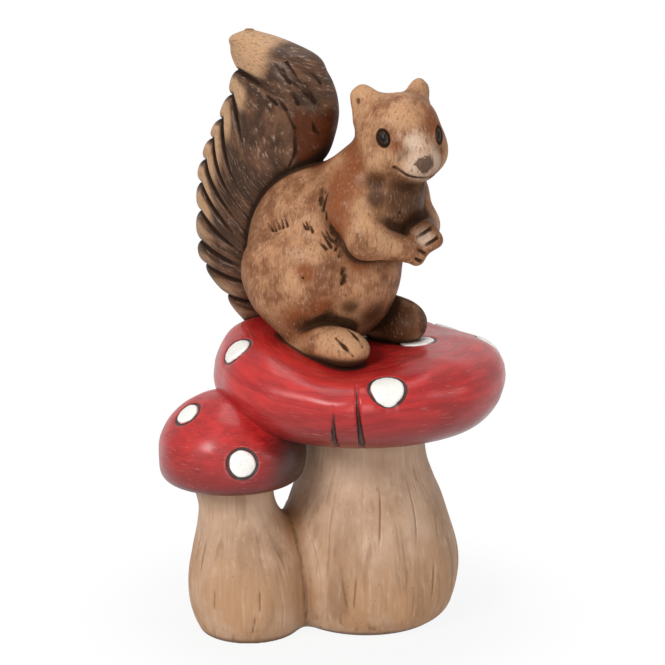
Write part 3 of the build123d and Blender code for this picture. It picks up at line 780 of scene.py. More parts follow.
def step(kind, settings=None, **wires):
    """A node of the tree of the spots: its type, its settings and what feeds its sockets"""
    return new_node(spot_tree, kind, settings, wires)


def carried(name, data_type):
    """A value that the mesh carries by name"""
    return step("GeometryNodeInputNamedAttribute", {"data_type": data_type}, n0=name)[0]


def chosen(low, high):
    """A random number for each spot"""
    seed = given["Seed"]
    return step("FunctionNodeRandomValue", {"data_type": "FLOAT"}, n2=low, n3=high, n8=seed)[1]


def vector_sum(operation, first, **other):
    """A step of arithmetic on vectors"""
    return step("ShaderNodeVectorMath", {"operation": operation}, n0=first, **other)[0]


disc_shape = step("GeometryNodeObjectInfo", n0=given["Disc"])["Geometry"]
cap_shape = step("GeometryNodeObjectInfo", n0=given["Cap"])["Geometry"]
facing = carried("facing", "FLOAT_VECTOR")
aligned = step("FunctionNodeAlignRotationToVector", {"axis": "Z"}, n2=facing)[0]
spun_about = step("FunctionNodeAxisAngleToRotation", n0=(0, 0, 1), n1=chosen(0.0, 6.28))[0]
rotation = step("FunctionNodeRotateRotation", {"rotation_space": "LOCAL"}, n0=aligned, n1=spun_about)[0]
smallest = step("ShaderNodeMath", {"operation": "SUBTRACT"}, n0=1.0, n1=given["Unevenness"])[0]
largest = step("ShaderNodeMath", {"operation": "ADD"}, n0=1.0, n1=given["Unevenness"])[0]
scale = chosen(smallest, largest)
scale = step("ShaderNodeMath", {"operation": "MULTIPLY"}, n0=scale, n1=carried("size", "FLOAT"))[0]
set_out = step(
    "GeometryNodeInstanceOnPoints", n0=given["Geometry"], n2=disc_shape, n5=rotation, n6=scale
)[0]
real = step("GeometryNodeRealizeInstances", n0=set_out)[0]
# Each point of a disc drops on to the cap from 12 mm above it, and is raised by its own rise
above = vector_sum("ADD", step("GeometryNodeInputPosition")[0], n1=vector_sum("SCALE", facing, n3=0.012))
down = vector_sum("SCALE", facing, n3=-1.0)
cast = step(
    "GeometryNodeRaycast", n0=cap_shape, Source_Position=above, Ray_Direction=down, Ray_Length=0.03
)
proud = vector_sum("SCALE", facing, n3=carried("rise", "FLOAT"))
rested = vector_sum("ADD", cast["Hit Position"], n1=proud)
seated = step("GeometryNodeSetPosition", n0=real, n2=rested)[0]
finished = step("GeometryNodeSetMaterial", n0=seated, n2=given["Finish"])[0]
spot_tree.links.new(finished, handed.inputs[0])


def slip_white(name):
    """White slip, thinly brushed, with a little brown caught in its pits"""
    finish = Finish(name)
    place = finish.place()
    patches = finish.cloud(place, 260, 3, 0.6)
    pits = finish.cloud(place, 1100, 2, 0.5)
    finish.start(patches.over(0.45, 0.75) * 0.5, (0.93, 0.91, 0.86), (0.80, 0.75, 0.67))
    finish.lay(pits.over(0.66, 0.75) * 0.6, (0.35, 0.22, 0.14))
    # The wash mark here is painted contact shade near the squirrel
    finish.lay(finish.mark("wash").over(0.15, 0.9) * 0.75, (0.16, 0.10, 0.07))
    relief = patches * 0.7 - pits.over(0.6, 0.75) * 0.4
    return finish.paint(
        0.36 + patches * 0.2, relief, 0.0003, Coat_Weight=0.3, Coat_Roughness=0.25
    )


disc_turn = np.arange(44) * 2 * np.pi / 44
wobble = 1 + 0.022 * np.sin(2 * disc_turn + 0.6) + 0.018 * np.sin(3 * disc_turn)
wobble = wobble + 0.01 * np.sin(7 * disc_turn + 1)
disc_shares = np.array([0, 0.2, 0.4, 0.58, 0.74, 0.86, 0.94, 0.985, 1.0, 0.97, 0.6, 0])
disc_rise = np.array([0.98, 0.98, 0.97, 0.95, 0.92, 0.86, 0.74, 0.5, 0.15, -0.5, -0.6, -0.6])
disc_heights = disc_rise[:, None] + np.zeros(44)
for owner, seats, radii, cap, seed in (
    ("large_cap_spots", large_seats, large_radii, large_cap, 3),
    ("small_cap_spots", small_seats, small_radii, small_cap, 9),
):
    disc = spun(owner + "_disc", disc_shares[:, None] * wobble * radii[0], disc_heights, (0, 0))
    carry(disc, "rise", at_points(disc_heights * millimetre))
    spots = clay_piece(owner + "_slip", seats, [])
    carry(spots, "size", np.array(radii) / radii[0])
    facings = []
    for seat, radius in zip(seats, radii):
        close = np.linalg.norm(mesh_points(cap) - seat, axis=1) < radius - 1
        mean = mesh_normals(cap)[close].mean(0)
        facings.append(mean / np.linalg.norm(mean))
    layer = spots.data.attributes.new("facing", "FLOAT_VECTOR", "POINT")
    layer.data.foreach_set("vector", np.array(facings, np.float32).ravel())
    finish = slip_white(owner + "_white")
    inputs = {"Disc": disc, "Cap": cap, "Unevenness": 0.02, "Seed": seed, "Finish": finish}
    made_plain(spots, spot_tree, inputs)
    bpy.data.objects.remove(disc)
    dressed(spots, owner)


# Torso. The squirrel's hollow clay body: a round belly and rump, a chest and a thick neck, cast in
# one mould and luted on to the large cap a little askew. Its coat of hair is cut in with a point.
squirrel_turn = math.radians(35)
squirrel_seat = Matrix.Translation((-4.24, 2.0, seat_height)) @ Matrix.Rotation(-squirrel_turn, 4, "Z")


def egg(points, centre, half_sizes, axes=None):
    """Distance outside an egg, whose own axes may be turned"""
    away = points - np.asarray(centre, np.float32)
    if axes is not None:
        away = away @ np.asarray(axes, np.float32).T
    shares = away / np.asarray(half_sizes, np.float32)
    slopes = shares / np.asarray(half_sizes, np.float32)
    size = np.sqrt(np.einsum("...i,...i", shares, shares))
    slope = np.sqrt(np.einsum("...i,...i", slopes, slopes))
    return size * (size - 1) / np.maximum(slope, 1e-5)


def rod(points, start, end, first, last):
    """Distance outside a tapering rod with round ends"""
    start = np.asarray(start, np.float32)
    along = np.asarray(end, np.float32) - start
    away = points - start
    share = np.clip((away @ along) / (along @ along), 0, 1)
    away = away - share[..., None] * along
    return np.sqrt(np.einsum("...i,...i", away, away)) - (first + share * (last - first))


def torso_form(points):
    """Distance outside the body, the belly, the chest and the neck run together"""
    body = egg(points, (0, 0, 37), (34, 26, 39))
    belly = egg(points, (7, 0, 34), (26, 22, 27))
    chest = egg(points, (27, 0, 64.5), (19, 18.5, 23))
    neck = rod(points, (20, 0, 66), (34, 2, 84), 16, 11.8)
    return melt(melt(melt(body, belly, 6), chest, 12), neck, 8)


torso_low = (-35, -27, -2)
torso_high = (48, 27, 101)
forms = [(torso_form, 0, torso_low, torso_high)]


def clay(points, upto=None):
    """Distance outside all the squirrel's forms that are luted on so far"""
    whole = torso_form(points)
    for form, fillet, low, high in forms[1:upto]:
        if (points.max(0) > low).all() and (points.min(0) < high).all():
            whole = melt(whole, form(points), fillet)
    return whole


def luted(name, form, fillet, low, high, step):
    """Adds a form to the squirrel and makes its skin, with a fillet on to the clay before it"""
    count = len(forms)
    forms.append((form, fillet, low, high))

    def own_skin(points):
        values = form(points)
        near = values < fillet + 2
        own = values[near]
        if len(own) == 0:
            return values
        before = clay(points[near], count)
        whole = melt(before, own, fillet) + 0.08 * np.maximum(own - 0.7 * fillet, 0)
        values[near] = np.maximum(np.maximum(whole, own - fillet), -(before + 3))
        return values

    return skin(name, own_skin, low, high, step, squirrel_seat)


def seat_points(piece):
    """The points of a piece, ahead of, left of and above the squirrel's seat in millimetres"""
    back = squirrel_seat.inverted()
    return mesh_points(piece) @ np.array(back.to_3x3()).T + np.array(back.translation)


def cut_in(piece, strokes, width, depth):
    """Cuts short tapering strokes into a piece with a pointed tool, and marks them for the wash"""
    points = seat_points(piece)
    cut = np.zeros(len(points))
    for start, end in strokes:
        near = np.abs(points - (np.array(start) + end) / 2).max(1) < 14
        away = np.maximum(rod(points[near], start, end, 0.1, -0.6 * width), 0)
        cut[near] = np.maximum(cut[near], np.exp(-((away / width) ** 2)))
    move_out(piece, -cut * depth)
    carry(piece, "cut", cut)


def both_sides(strokes):
    """The strokes, and the same ones on the squirrel's other side"""
    return strokes + [[(u, -v, z) for u, v, z in stroke] for stroke in strokes]


# Hair cut in with a pointed tool along the top of the haunch, down the crease behind the shoulder
# and beside the belly, each stroke by its two ends
hair_strokes = both_sides(
    [
        [(-7.1, -24.8, 50.5), (-12.1, -22.0, 52.5)], [(-5.6, -24.9, 50.7), (-9.6, -22.4, 53.4)],
        [(-4.2, -24.4, 51.7), (-7.2, -22.6, 54.3)], [(-2.5, -24.2, 52.1), (-4.8, -22.5, 55.7)],
        [(-0.6, -23.9, 52.9), (-3.1, -22.4, 56.5)], [(8.1, -23.1, 52.5), (6.4, -22.7, 54.6)],
        [(9.0, -22.8, 52.6), (7.4, -22.2, 55.5)], [(11.0, -22.7, 51.6), (9.6, -22.3, 53.8)],
        [(19.2, -21.4, 46.0), (14.8, -21.7, 51.9)], [(20.4, -20.7, 48.3), (16.2, -21.6, 50.3)],
        [(17.4, -22.3, 45.3), (14.3, -22.9, 48.0)],
        [(19.1, -21.3, 48.2), (16.5, -21.1, 52.6)], [(12.6, -19.1, 65.2), (11.6, -17.1, 70.3)],
        [(14.3, -18.9, 67.1), (14.5, -18.2, 69.9)], [(15.0, -19.9, 62.7), (16.1, -19.2, 67.3)],
        [(14.5, -20.2, 60.3), (16.1, -19.9, 64.5)], [(18.9, -21.1, 56.3), (20.4, -22.7, 59.6)],
        [(21.2, -21.3, 54.3), (23.4, -23.5, 57.8)], [(20.3, -20.5, 51.2), (19.6, -21.0, 55.2)],
        [(22.8, -20.2, 48.5), (21.6, -20.4, 50.7)], [(24.0, -20.3, 39.3), (24.9, -19.6, 41.7)],
        [(24.4, -20.4, 34.7), (24.0, -20.3, 39.3)], [(24.8, -20.0, 32.4), (27.7, -18.2, 37.1)],
        [(24.6, -19.7, 29.4), (27.3, -18.5, 33.0)], [(23.7, -19.9, 26.9), (24.3, -20.3, 31.8)],
        [(28.9, -17.4, 35.4), (35.7, -10.7, 39.7)], [(32.2, -14.5, 35.2), (35.5, -10.9, 39.1)],
        [(11.3, -29.8, 34.0), (11.4, -29.8, 33.8)], [(43.5, -8.7, 60.5), (43.6, -8.7, 60.3)],
    ]
)

# More hair, cut slanting across the crease between the shoulder and the haunch
crease_line = [
    (11.5, -18.5, 71), (13.5, -19.5, 64), (19, -21, 56), (22, -20.8, 49), (24.2, -20.3, 41), (24.3, -20, 30),
]
crease_hair = np.random.default_rng(11)
crease_strokes = []
for start, end in zip(crease_line, crease_line[1:]):
    for share in (0.05, 0.3, 0.55, 0.8):
        root = np.array(start) + share * np.subtract(end, start) + crease_hair.normal(0, 0.5, 3)
        lean = np.array([1.6, -0.3, 3.4]) * crease_hair.uniform(0.7, 1.2) + crease_hair.normal(0, 0.35, 3)
        crease_strokes.append([tuple(root - lean / 2), tuple(root + lean / 2)])
crease_strokes = both_sides(crease_strokes)
coat_strokes = hair_strokes + crease_strokes
hair_width = 0.4
hair_depth = 0.8


def painted_fur(name):
    """Tan and brown laid over each other in short bristly strokes, with the daubs and the wash, partly
    painted shade
    """
    finish = Finish(name)
    place = finish.place()
    bristle = finish.cloud(finish.place((1.0, 1.0, 0.3), (0.5, 0.4, 0.2)), 1150, 4, 0.7)
    streak = finish.cloud(finish.place((1.0, 1.0, 0.22), (-0.6, 0.7, 0.1)), 760, 4, 0.7)
    patches = finish.cloud(place, 55, 4, 0.62)
    smears = finish.cloud(place, 130, 3, 0.6)
    grain = finish.cloud(place, 1500, 2, 0.6)
    uneven = (patches - 0.5) * 1.5 + (smears - 0.5) * 1.4 + (bristle - 0.5) * 0.8
    finish.start((uneven + 0.5).over(0.15, 0.9), (0.21, 0.080, 0.032), (0.52, 0.265, 0.135))
    finish.lay((finish.mark("rust") + uneven * 0.6).over(0.15, 0.9) * 0.9, (0.235, 0.062, 0.016))
    finish.lay((finish.mark("pale") + uneven * 0.6).over(0.15, 0.95) * 0.85, (0.57, 0.31, 0.16))
    cream = finish.mark("cream") + uneven * 0.35 + (bristle - 0.5) * 0.8
    finish.lay(cream.over(0.08, 1.0) * 0.95, (0.68, 0.49, 0.36))
    finish.lay((finish.mark("dark") + uneven * 0.45).over(0.15, 0.85) * 0.92, (0.060, 0.020, 0.005))
    finish.lay(bristle.over(0.54, 0.72) * 0.42, (0.60, 0.42, 0.32))
    finish.lay(streak.over(0.52, 0.68) * 0.6, (0.14, 0.055, 0.02))
    finish.lay(grain.over(0.60, 0.70) * 0.45, (0.12, 0.05, 0.022))
    # The wash: brown left in the hollows, partly real wash and partly painted shade
    finish.lay((finish.mark("wash") + uneven * 0.35).over(0.15, 0.95) * 0.93, (0.034, 0.013, 0.005))
    nose = finish.mark("nose") + (grain - 0.5) * 1.2 + uneven * 0.2
    finish.lay(nose.over(0.32, 0.6) * 0.9, (0.072, 0.032, 0.017))
    finish.lay((finish.mark("cut") + uneven * 0.3).over(0.3, 1.0) * 0.75, (0.060, 0.024, 0.010))
    relief = bristle * 0.8 + streak * 0.7 + grain * 0.25 + patches * 0.8
    dull = finish.mark("wash").over(0, 0.6)
    return finish.paint(
        0.5 + bristle * 0.25 + dull * 0.2, relief, 0.0005,
        Specular_IOR_Level=0.12, Coat_Weight=(1 - dull) * 0.16, Coat_Roughness=0.3,
    )


fur_finish = painted_fur("painted_fur")


torso = skin("torso_body", torso_form, torso_low, torso_high, 0.51, squirrel_seat)
cut_in(torso, coat_strokes, hair_width, hair_depth)
dressed(torso, "torso", fur_finish)


# Haunches. Thick thighs of clay, pressed and luted on to the sides of the body. Each has a shank
# that comes down to its foot, and a crease at its front.
for side, name in ((-1, "right"), (1, "left")):

    def haunch_form(points, side=side):
        """Distance outside the thigh and the shank of one side"""
        thigh = egg(points, (-2, 19.5 * side, 32), (24, 12.5, 20.5))
        shank = rod(points, (-6, 20 * side, 22), (3, 19.5 * side, 9), 10, 7.5)
        return melt(thigh, shank, 8)

    sides = sorted((4 * side, 37 * side))
    haunch = luted(name + "_haunch_body", haunch_form, 1.6, (-32, sides[0], -2), (26, sides[1], 57), 0.4)
    cut_in(haunch, coat_strokes, hair_width, hair_depth)
    dressed(haunch, name + "_haunch", fur_finish)


# Hind feet. Long rolls of clay pressed flat on the cap under each haunch, and luted there. Two
# grooves are cut between the toes, each in two strokes that leave its middle.
toe_grooves = [
    [(14.4, -7.1, 1.9), (9.3, -6.1, 4.8)], [(14.4, -7.1, 1.9), (17.7, -5.8, -1.7)],
    [(15.6, -1.2, 5.3), (10.2, 1.1, 7.0)], [(15.6, -1.2, 5.3), (19.6, -1.9, 1.6)],
]
for name, side, middle, rise in (("right", -1, (15.3, -20, 5.8), 0), ("left", 1, (17.7, 19, 8.3), 2.2)):

    middle = np.array(middle)

    def foot_form(points, middle=middle, rise=rise):
        """Distance outside the sole and the toes of one foot"""
        sole = egg(points, middle + (0, 0, rise * 0.6), (19.5, 8.5, 8 + rise))
        toes = egg(points, middle + (10.5, 0, rise * 0.5 - 1.5), (9, 8.6, 6.2 + rise))
        return melt(sole, toes, 4)

    low = (middle[0] - 21, middle[1] - 10.5, -3)
    high = (middle[0] + 21.5, middle[1] + 10.5, 22)
    foot = luted(name + "_hind_foot_body", foot_form, 0.8, low, high, 0.38)
    toe_strokes = [
        [middle + (u, -side * v, z + 1.6 * rise) for u, v, z in groove] for groove in toe_grooves
    ]
    cut_in(foot, toe_strokes, 0.55, 0.9)
    dressed(foot, name + "_hind_foot", fur_finish)


# Forelegs. Each is one roll of clay, bent at the elbow between the shoulder and the wrist, with its
# shoulder smoothed up into the side of the neck.
for name, shoulder, elbow, wrist in (
    ("right", (25.2, -14.6, 61.2), (34, -18, 50.4), (45.0, -7, 46.0)),
    ("left", (28.8, 16.0, 64.5), (36.4, 17.0, 51), (47.4, 3.8, 50.3)),
):

    def foreleg_form(points, shoulder=shoulder, elbow=elbow, wrist=wrist):
        """Distance outside the upper and lower foreleg of one side and its shoulder"""
        upper = rod(points, shoulder, elbow, 9.5, 7.6)
        lower = rod(points, elbow, wrist, 7.6, 5.2)
        neck_side = (shoulder[0] + 3.0, shoulder[1] * 0.5, shoulder[2] + 14)
        return melt(melt(upper, lower, 3.5), rod(points, shoulder, neck_side, 9.5, 7), 4)

    corners = np.array([shoulder, elbow, wrist])
    low = corners.min(0) - 13
    high = corners.max(0) + (13, 13, 26)
    foreleg = luted(name + "_foreleg_body", foreleg_form, 2.8, low, high, 0.45)
    cut_in(foreleg, coat_strokes, hair_width, hair_depth)
    dressed(foreleg, name + "_foreleg", fur_finish)


# Forepaws. Blocks of clay with rounded edges, luted to the wrists and held one over the other
# before the chest, with grooves pressed in between their fingers.
def block(points, centre, half_sizes, edge, axes):
    """Distance outside a block with rounded edges, turned to its own axes"""
    away = np.abs((points - np.asarray(centre, np.float32)) @ axes.T.astype(np.float32))
    away = away - (np.array(half_sizes) - edge)
    outside = np.maximum(away, 0)
    return np.sqrt(np.einsum("...i,...i", outside, outside)) + np.minimum(away.max(-1), 0) - edge


for name, palm, way, side, half_sizes in (
    ("right", (46.6, -4.8, 45.2), (0.60, 0.62, -0.50), (0.35, 0.36, 0.86), (6.2, 4.9, 4.7)),
    ("left", (49.6, 0.0, 50.4), (0.68, 0.47, 0.55), (0.41, 0.29, -0.86), (6.0, 6.4, 5.0)),
):
    paw_axes = np.array([way, side, np.cross(way, side)])
    paw_axes = paw_axes / np.linalg.norm(paw_axes, axis=1)[:, None]

    def forepaw_form(points, palm=palm, axes=paw_axes, half_sizes=half_sizes):
        """Distance outside one paw, with its grooves"""
        whole = block(points, palm, half_sizes, 3.6, axes)
        for share in (-0.36, 0.36):
            for face in (-1, 1):
                start = np.array(palm) + axes[1] * share * half_sizes[1] + axes[2] * face * half_sizes[2]
                groove = rod(points, start - axes[0] * 2.6, start + axes[0] * 6.5 - axes[2] * face, 0.3, 0.5)
                whole = press(whole, groove, 0.9)
        return whole

    low = np.array(palm) - 12
    forepaw = luted(name + "_forepaw_body", forepaw_form, 1.4, low, low + 24, 0.36)
    dressed(forepaw, name + "_forepaw", fur_finish)


# Head. Skull, full cheeks and a short muzzle cast hollow in one mould and luted on the neck, turned
# towards the viewer. The mouth is cut in and the eye sockets are sunk.
head_turn = math.radians(31)
head_middle = np.array([37.8, 2.6, 87.5])
head_axes = np.array(
    [
        (math.cos(head_turn), -math.sin(head_turn), 0),
        (math.sin(head_turn), math.cos(head_turn), 0),
        (0, 0, 1),
    ]
)
mouth_line = [(13, -10.5, -8.1), (15.5, -6, -11.2), (17.6, -1.5, -12.3), (17.2, 2.9, -12.5), (15.4, 6, -11.8)]
eye_places = {"right": (10.5, -14.0, 3.1), "left": (13.2, 8.1, 3.4)}
eye_facings = {"right": (0.68, -0.68, 0.25), "left": (0.80, 0.55, 0.2)}


def on_head(points):
    """Points as ahead, to its left and up from the middle of the head"""
    return (points - head_middle.astype(np.float32)) @ head_axes.T.astype(np.float32)


def facing_axes(out):
    """Axes outward, across and along an eye, which slants down towards the nose"""
    out = np.array(out) / np.linalg.norm(out)
    across = np.cross((0, 0, 1), out)
    across = across / np.linalg.norm(across)
    slant = math.radians(24) * math.copysign(1, -out[1])
    along = np.cross(out, across) * math.cos(slant) - across * math.sin(slant)
    return np.array([out, np.cross(along, out), along])


def head_form(points):
    """Distance outside the head, with its eye sockets and its mouth"""
    near = on_head(points)
    whole = egg(near, (-2, -1.6, 3), (17, 16.6, 15.8))
    for middle in (-10.3, 7.8):
        whole = melt(whole, egg(near, (2, middle, -4), (12, 9, 10)), 5)
    whole = melt(whole, egg(near, (6, 0, -10), (10, 9.5, 6)), 4)
    whole = melt(whole, rod(near, (4, 0, 8), (15, 0, -3.5), 9, 5), 6)
    whole = melt(whole, egg(near, (10.5, 0, -7), (9.5, 9, 7.5)), 3)
    whole = melt(whole, egg(near, (18.2, 0, -7.0), (2.8, 4.0, 3.2)), 1.6)
    for side, place in eye_places.items():
        axes = facing_axes(eye_facings[side])
        lids = egg(near, np.array(place) - axes[0] * 1.1, (2.3, 3.7, 5.0), axes)
        socket = egg(near, np.array(place) + axes[0] * 0.9, (2.1, 2.7, 3.9), axes)
        whole = press(melt(whole, lids, 1.8), socket, 0.5)
    for start, end in zip(mouth_line, mouth_line[1:]):
        whole = press(whole, rod(near, start, end, 0.4, 0.4), 0.7)
    return press(whole, rod(near, (20.4, 0, -9.6), (18.4, 0, -12.3), 0.35, 0.4), 0.7)


def off_head(*places):
    """Places given from the middle of the head, turned back to the squirrel's seat"""
    return [tuple(head_middle + np.array(place) @ head_axes) for place in places]


head = luted("head_body", head_form, 4.0, (14, -21, 66), (62, 26, 109), 0.34)
mouth_strokes = [off_head(start, end) for start, end in zip(mouth_line, mouth_line[1:])]
mouth_strokes.append(off_head((20.4, 0, -10), (18.4, 0, -12.3)))
cut_in(head, mouth_strokes, 0.42, 0.1)
dressed(head, "head", fur_finish)


# Ears. Small pinches of clay luted to the back of the head and turned outwards, each with a rolled
# rim and a shallow fold pressed in.
for side, name, place in ((-1, "right", (-9.4, -13.0, 14.4)), (1, "left", (-9.0, 10.6, 15.8))):
    lean = math.radians(17) * side
    ear_out = np.array([0.66, 0.75 * side, 0.0])
    ear_up = np.array([-0.10, math.sin(lean), math.cos(lean)])
    ear_up = ear_up - ear_out * (ear_up @ ear_out) / (ear_out @ ear_out)
    ear_axes = np.array([ear_out / np.linalg.norm(ear_out), np.cross(ear_up, ear_out), ear_up])
    ear_axes = ear_axes / np.linalg.norm(ear_axes, axis=1)[:, None]

    def ear_form(points, side=side, place=place, axes=ear_axes):
        """Distance outside one ear, with its root, its rim and its fold"""
        near = (on_head(points) - np.array(place, np.float32)) @ axes.T.astype(np.float32)
        blade = egg(near, (0, 0, -0.5), (3.0, 5.0, 7.6))
        root = rod(near, (-1, -4.5 * side, -8), (-0.3, -0.6 * side, 1.5), 5.5, 3.0)
        rim = rod(near, (1.6, 3.2 * side, -5.5), (1.2, 2.4 * side, 4.0), 1.5, 1.7)
        whole = melt(melt(blade, root, 6), rim, 2.0)
        fold = rod(near, (2.6, 0.4 * side, -7.5), (3.6, 0.4 * side, 1.5), 0.9, 0.3)
        return press(whole, fold, 2.4)

    middle = head_middle + np.array(place) @ head_axes
    low = middle - (13, 13, 16)
    high = middle + (13, 13, 14)
    ear = luted(name + "_ear_body", ear_form, 6.0, low, high, 0.36)
    dressed(ear, name + "_ear", fur_finish)


# Eyes. Low domes of clay let into their sockets, painted near black with a brown iris round the
# pupil, under clear gloss.
def painted_eye(name):
    """A brown iris round a black pupil inside a black rim, under clear gloss"""
    finish = Finish(name)
    rim = finish.mark("rim")
    rays = finish.cloud(finish.place(), 900, 2, 0.6)
    finish.start(rays.over(0.35, 0.65), (0.022, 0.012, 0.007), (0.060, 0.036, 0.023))
    finish.lay(1 - rim.over(0.34, 0.46), (0.006, 0.004, 0.004))
    finish.lay(rim.over(0.60, 0.78), (0.012, 0.007, 0.005))
    return finish.paint(
        0.35 + rays * 0.1, rays, 0.00005, Specular_IOR_Level=0.06, Coat_Weight=0.09, Coat_Roughness=0.12
    )


for name, place in eye_places.items():
    axes = facing_axes(eye_facings[name])

    def eye_form(points, place=place, axes=axes):
        """Distance outside one eye"""
        return egg(on_head(points), np.array(place) - axes[0] * 1.2, (2.1, 2.8, 4.0), axes)

    middle = head_middle + np.array(place) @ head_axes
    eye = skin(name + "_eye_body", eye_form, middle - 6, middle + 6, 0.2, squirrel_seat)
    from_middle = (on_head(seat_points(eye)) - place) @ axes.T
    carry(eye, "rim", np.hypot(from_middle[:, 1] / 2.8, from_middle[:, 2] / 4.0))
    dressed(eye, name + "_eye", painted_eye(name + "_eye_gloss"))


# Tail. A thick bushy tail of clay, cast hollow on its own and luted to the rump. Its locks are
# parted by deep slanting grooves that scallop its back edge, and fade towards its smoother front.
tail_heights = [0.5, 6.4, 17.7, 29.6, 40, 52.2, 68.5, 78.5, 86.1, 97.4, 111.2, 120, 125.6, 127.6]
tail_back = flowing(
    tail_heights, [-38, -41, -49, -60.4, -62.4, -62.4, -61.6, -58.2, -54.2, -47.8, -43.2, -44.6, -43.4, -38]
)
tail_front = flowing(
    tail_heights, [-39, -31.3, -25.8, -23.1, -22, -20.4, -9.5, 0.8, 4.2, 6.2, 1.2, -7.2, -26.4, -36]
)
tail_half = flowing(tail_heights, [1, 6.5, 13, 15.2, 15.4, 15.5, 15.5, 15.5, 15.5, 15, 13.3, 10.2, 5.4, 0.8])
lock_heights = np.array([-8, 4, 16.5, 28.5, 37.9, 50.9, 63, 72.7, 82, 90.5, 101.1, 111.3, 137])
lock_depth = 3.2
lock_slant = flowing(
    [-10, 10, 28, 40, 52, 63, 76, 92, 101, 111, 125],
    [0.2, 0.22, 0.25, 0.32, 0.6, 0.9, 1.05, 1.1, 0.95, 0.26, 0.1],
)
# The height at which a lock leaves the back edge, for each millimetre forward and each one up
leaving = np.linspace(-60, 220, 561)
leaving_slant = lock_slant(np.clip(leaving, -10, 125))
lock_lines = np.array(
    [
        np.interp(np.arange(-10, 141), leaving - leaving_slant * aside - 0.004 * aside**2, leaving)
        for aside in np.maximum(np.arange(76) - 8, 0)
    ]
)


def lock_place(points):
    """How far points are from the back of the tail, and the height at which their lock leaves it"""
    aside = np.clip(points[..., 0] - tail_back(points[..., 2]), 0, 74.9)
    up = np.clip(points[..., 2] + 10, 0, 149.9)
    i, j = aside.astype(int), up.astype(int)
    low = lock_lines[i, j] * (1 - up + j) + lock_lines[i, j + 1] * (up - j)
    high = lock_lines[i + 1, j] * (1 - up + j) + lock_lines[i + 1, j + 1] * (up - j)
    return aside, low * (1 - aside + i) + high * (aside - i)


def lock_share(leaves):
    """How far up its own lock each place is, from 0 to 1"""
    k = np.clip(np.searchsorted(lock_heights, leaves) - 1, 0, len(lock_heights) - 2)
    return np.clip((leaves - lock_heights[k]) / (lock_heights[k + 1] - lock_heights[k]), 0, 1)


def tail_form(points):
    """Distance outside the tail, which swells at the middle of each lock"""
    z = points[..., 2]
    back = tail_back(z)
    front = tail_front(z)
    half = tail_half(z)
    reach = np.maximum((front - back) / 2, 0.5)
    shares = np.stack([(points[..., 0] - (front + back) / 2) / reach, points[..., 1] / half], -1)
    size = np.sqrt(np.einsum("...i,...i", shares, shares))
    slope = np.sqrt((shares[..., 0] / reach) ** 2 + (shares[..., 1] / half) ** 2) / np.maximum(size, 0.05)
    away = (size - 1) / np.maximum(slope, 0.02) * 0.9
    away = np.maximum(np.maximum(away, z - 127.5), 0.6 - z)
    aside, leaves = lock_place(points)
    swell = np.sqrt(np.maximum(1 - abs(1 - lock_share(leaves) * 2) ** 2.6, 0))
    fading = 1 - 0.8 * step_up(aside, 14, 32) - 0.2 * step_up(aside, 32, 52)
    return away - lock_depth * fading * step_up(z, 2, 12) * (swell - 0.78)


tail = luted("tail_body", tail_form, 0.5, (-71, -18, -1), (12, 18, 129), 0.5)
tail_strokes = both_sides(
    [
        [(-5.3, -11.9, 90.3), (-8.5, -13.3, 97.1)], [(-6.0, -10.6, 80.7), (-5.3, -11.9, 90.3)],
        [(-6.0, -10.6, 80.7), (-9.4, -9.8, 74.4)], [(-11.0, -9.8, 116.7), (-4.4, -9.7, 109.4)],
        [(1.1, -8.2, 101.9), (-4.4, -9.7, 109.4)], [(-4.1, -11.5, 100.4), (-11.8, -11.3, 113.7)],
        [(1.9, -4.0, 108.5), (-7.5, -6.7, 118.1)], [(1.7, -7.8, 101.2), (-2.3, -8.7, 108.7)],
        [(-0.3, -8.9, 103.4), (-6.4, -11.0, 108.6)], [(-7.9, -11.5, 108.6), (-15.5, -11.5, 115.8)],
        [(1.6, -7.6, 89.9), (1.2, -8.4, 92.7)], [(1.6, -7.6, 89.9), (2.6, -5.8, 87.9)],
        [(-8.6, -13.3, 97.9), (-11.9, -14.0, 101.6)], [(-12.7, -14.2, 100.0), (-19.1, -14.6, 104.2)],
    ]
)
cut_in(tail, tail_strokes, 0.5, 0.8)
points = seat_points(tail)
aside, leaves = lock_place(points)
share = lock_share(leaves)
carry(tail, "strand", leaves)
carry(tail, "aside", aside)
parting = np.maximum(1 - step_up(share, 0.01, 0.1), step_up(share, 0.9, 1.0))
carry(tail, "parting", parting * (1 - step_up(aside, 20, 42)))
lobe = step_up(share, 0.05, 0.3) * (1 - step_up(share, 0.55, 0.95))
tip = step_up(leaves, 111, 114) * step_up(-points[:, 0], 11, 27)
back_edge = lobe * (1 - step_up(aside, 11, 24)) * (0.45 + 0.55 * step_up(points[:, 2], 30, 60))
carry(tail, "pale", np.maximum(tip, back_edge))
face = step_up(points[:, 0], -8, -4) * (1 - step_up(points[:, 2], 92, 103))
carry(tail, "rust", np.maximum(face, (1 - step_up(points[:, 2], 14, 46)) * 0.6))


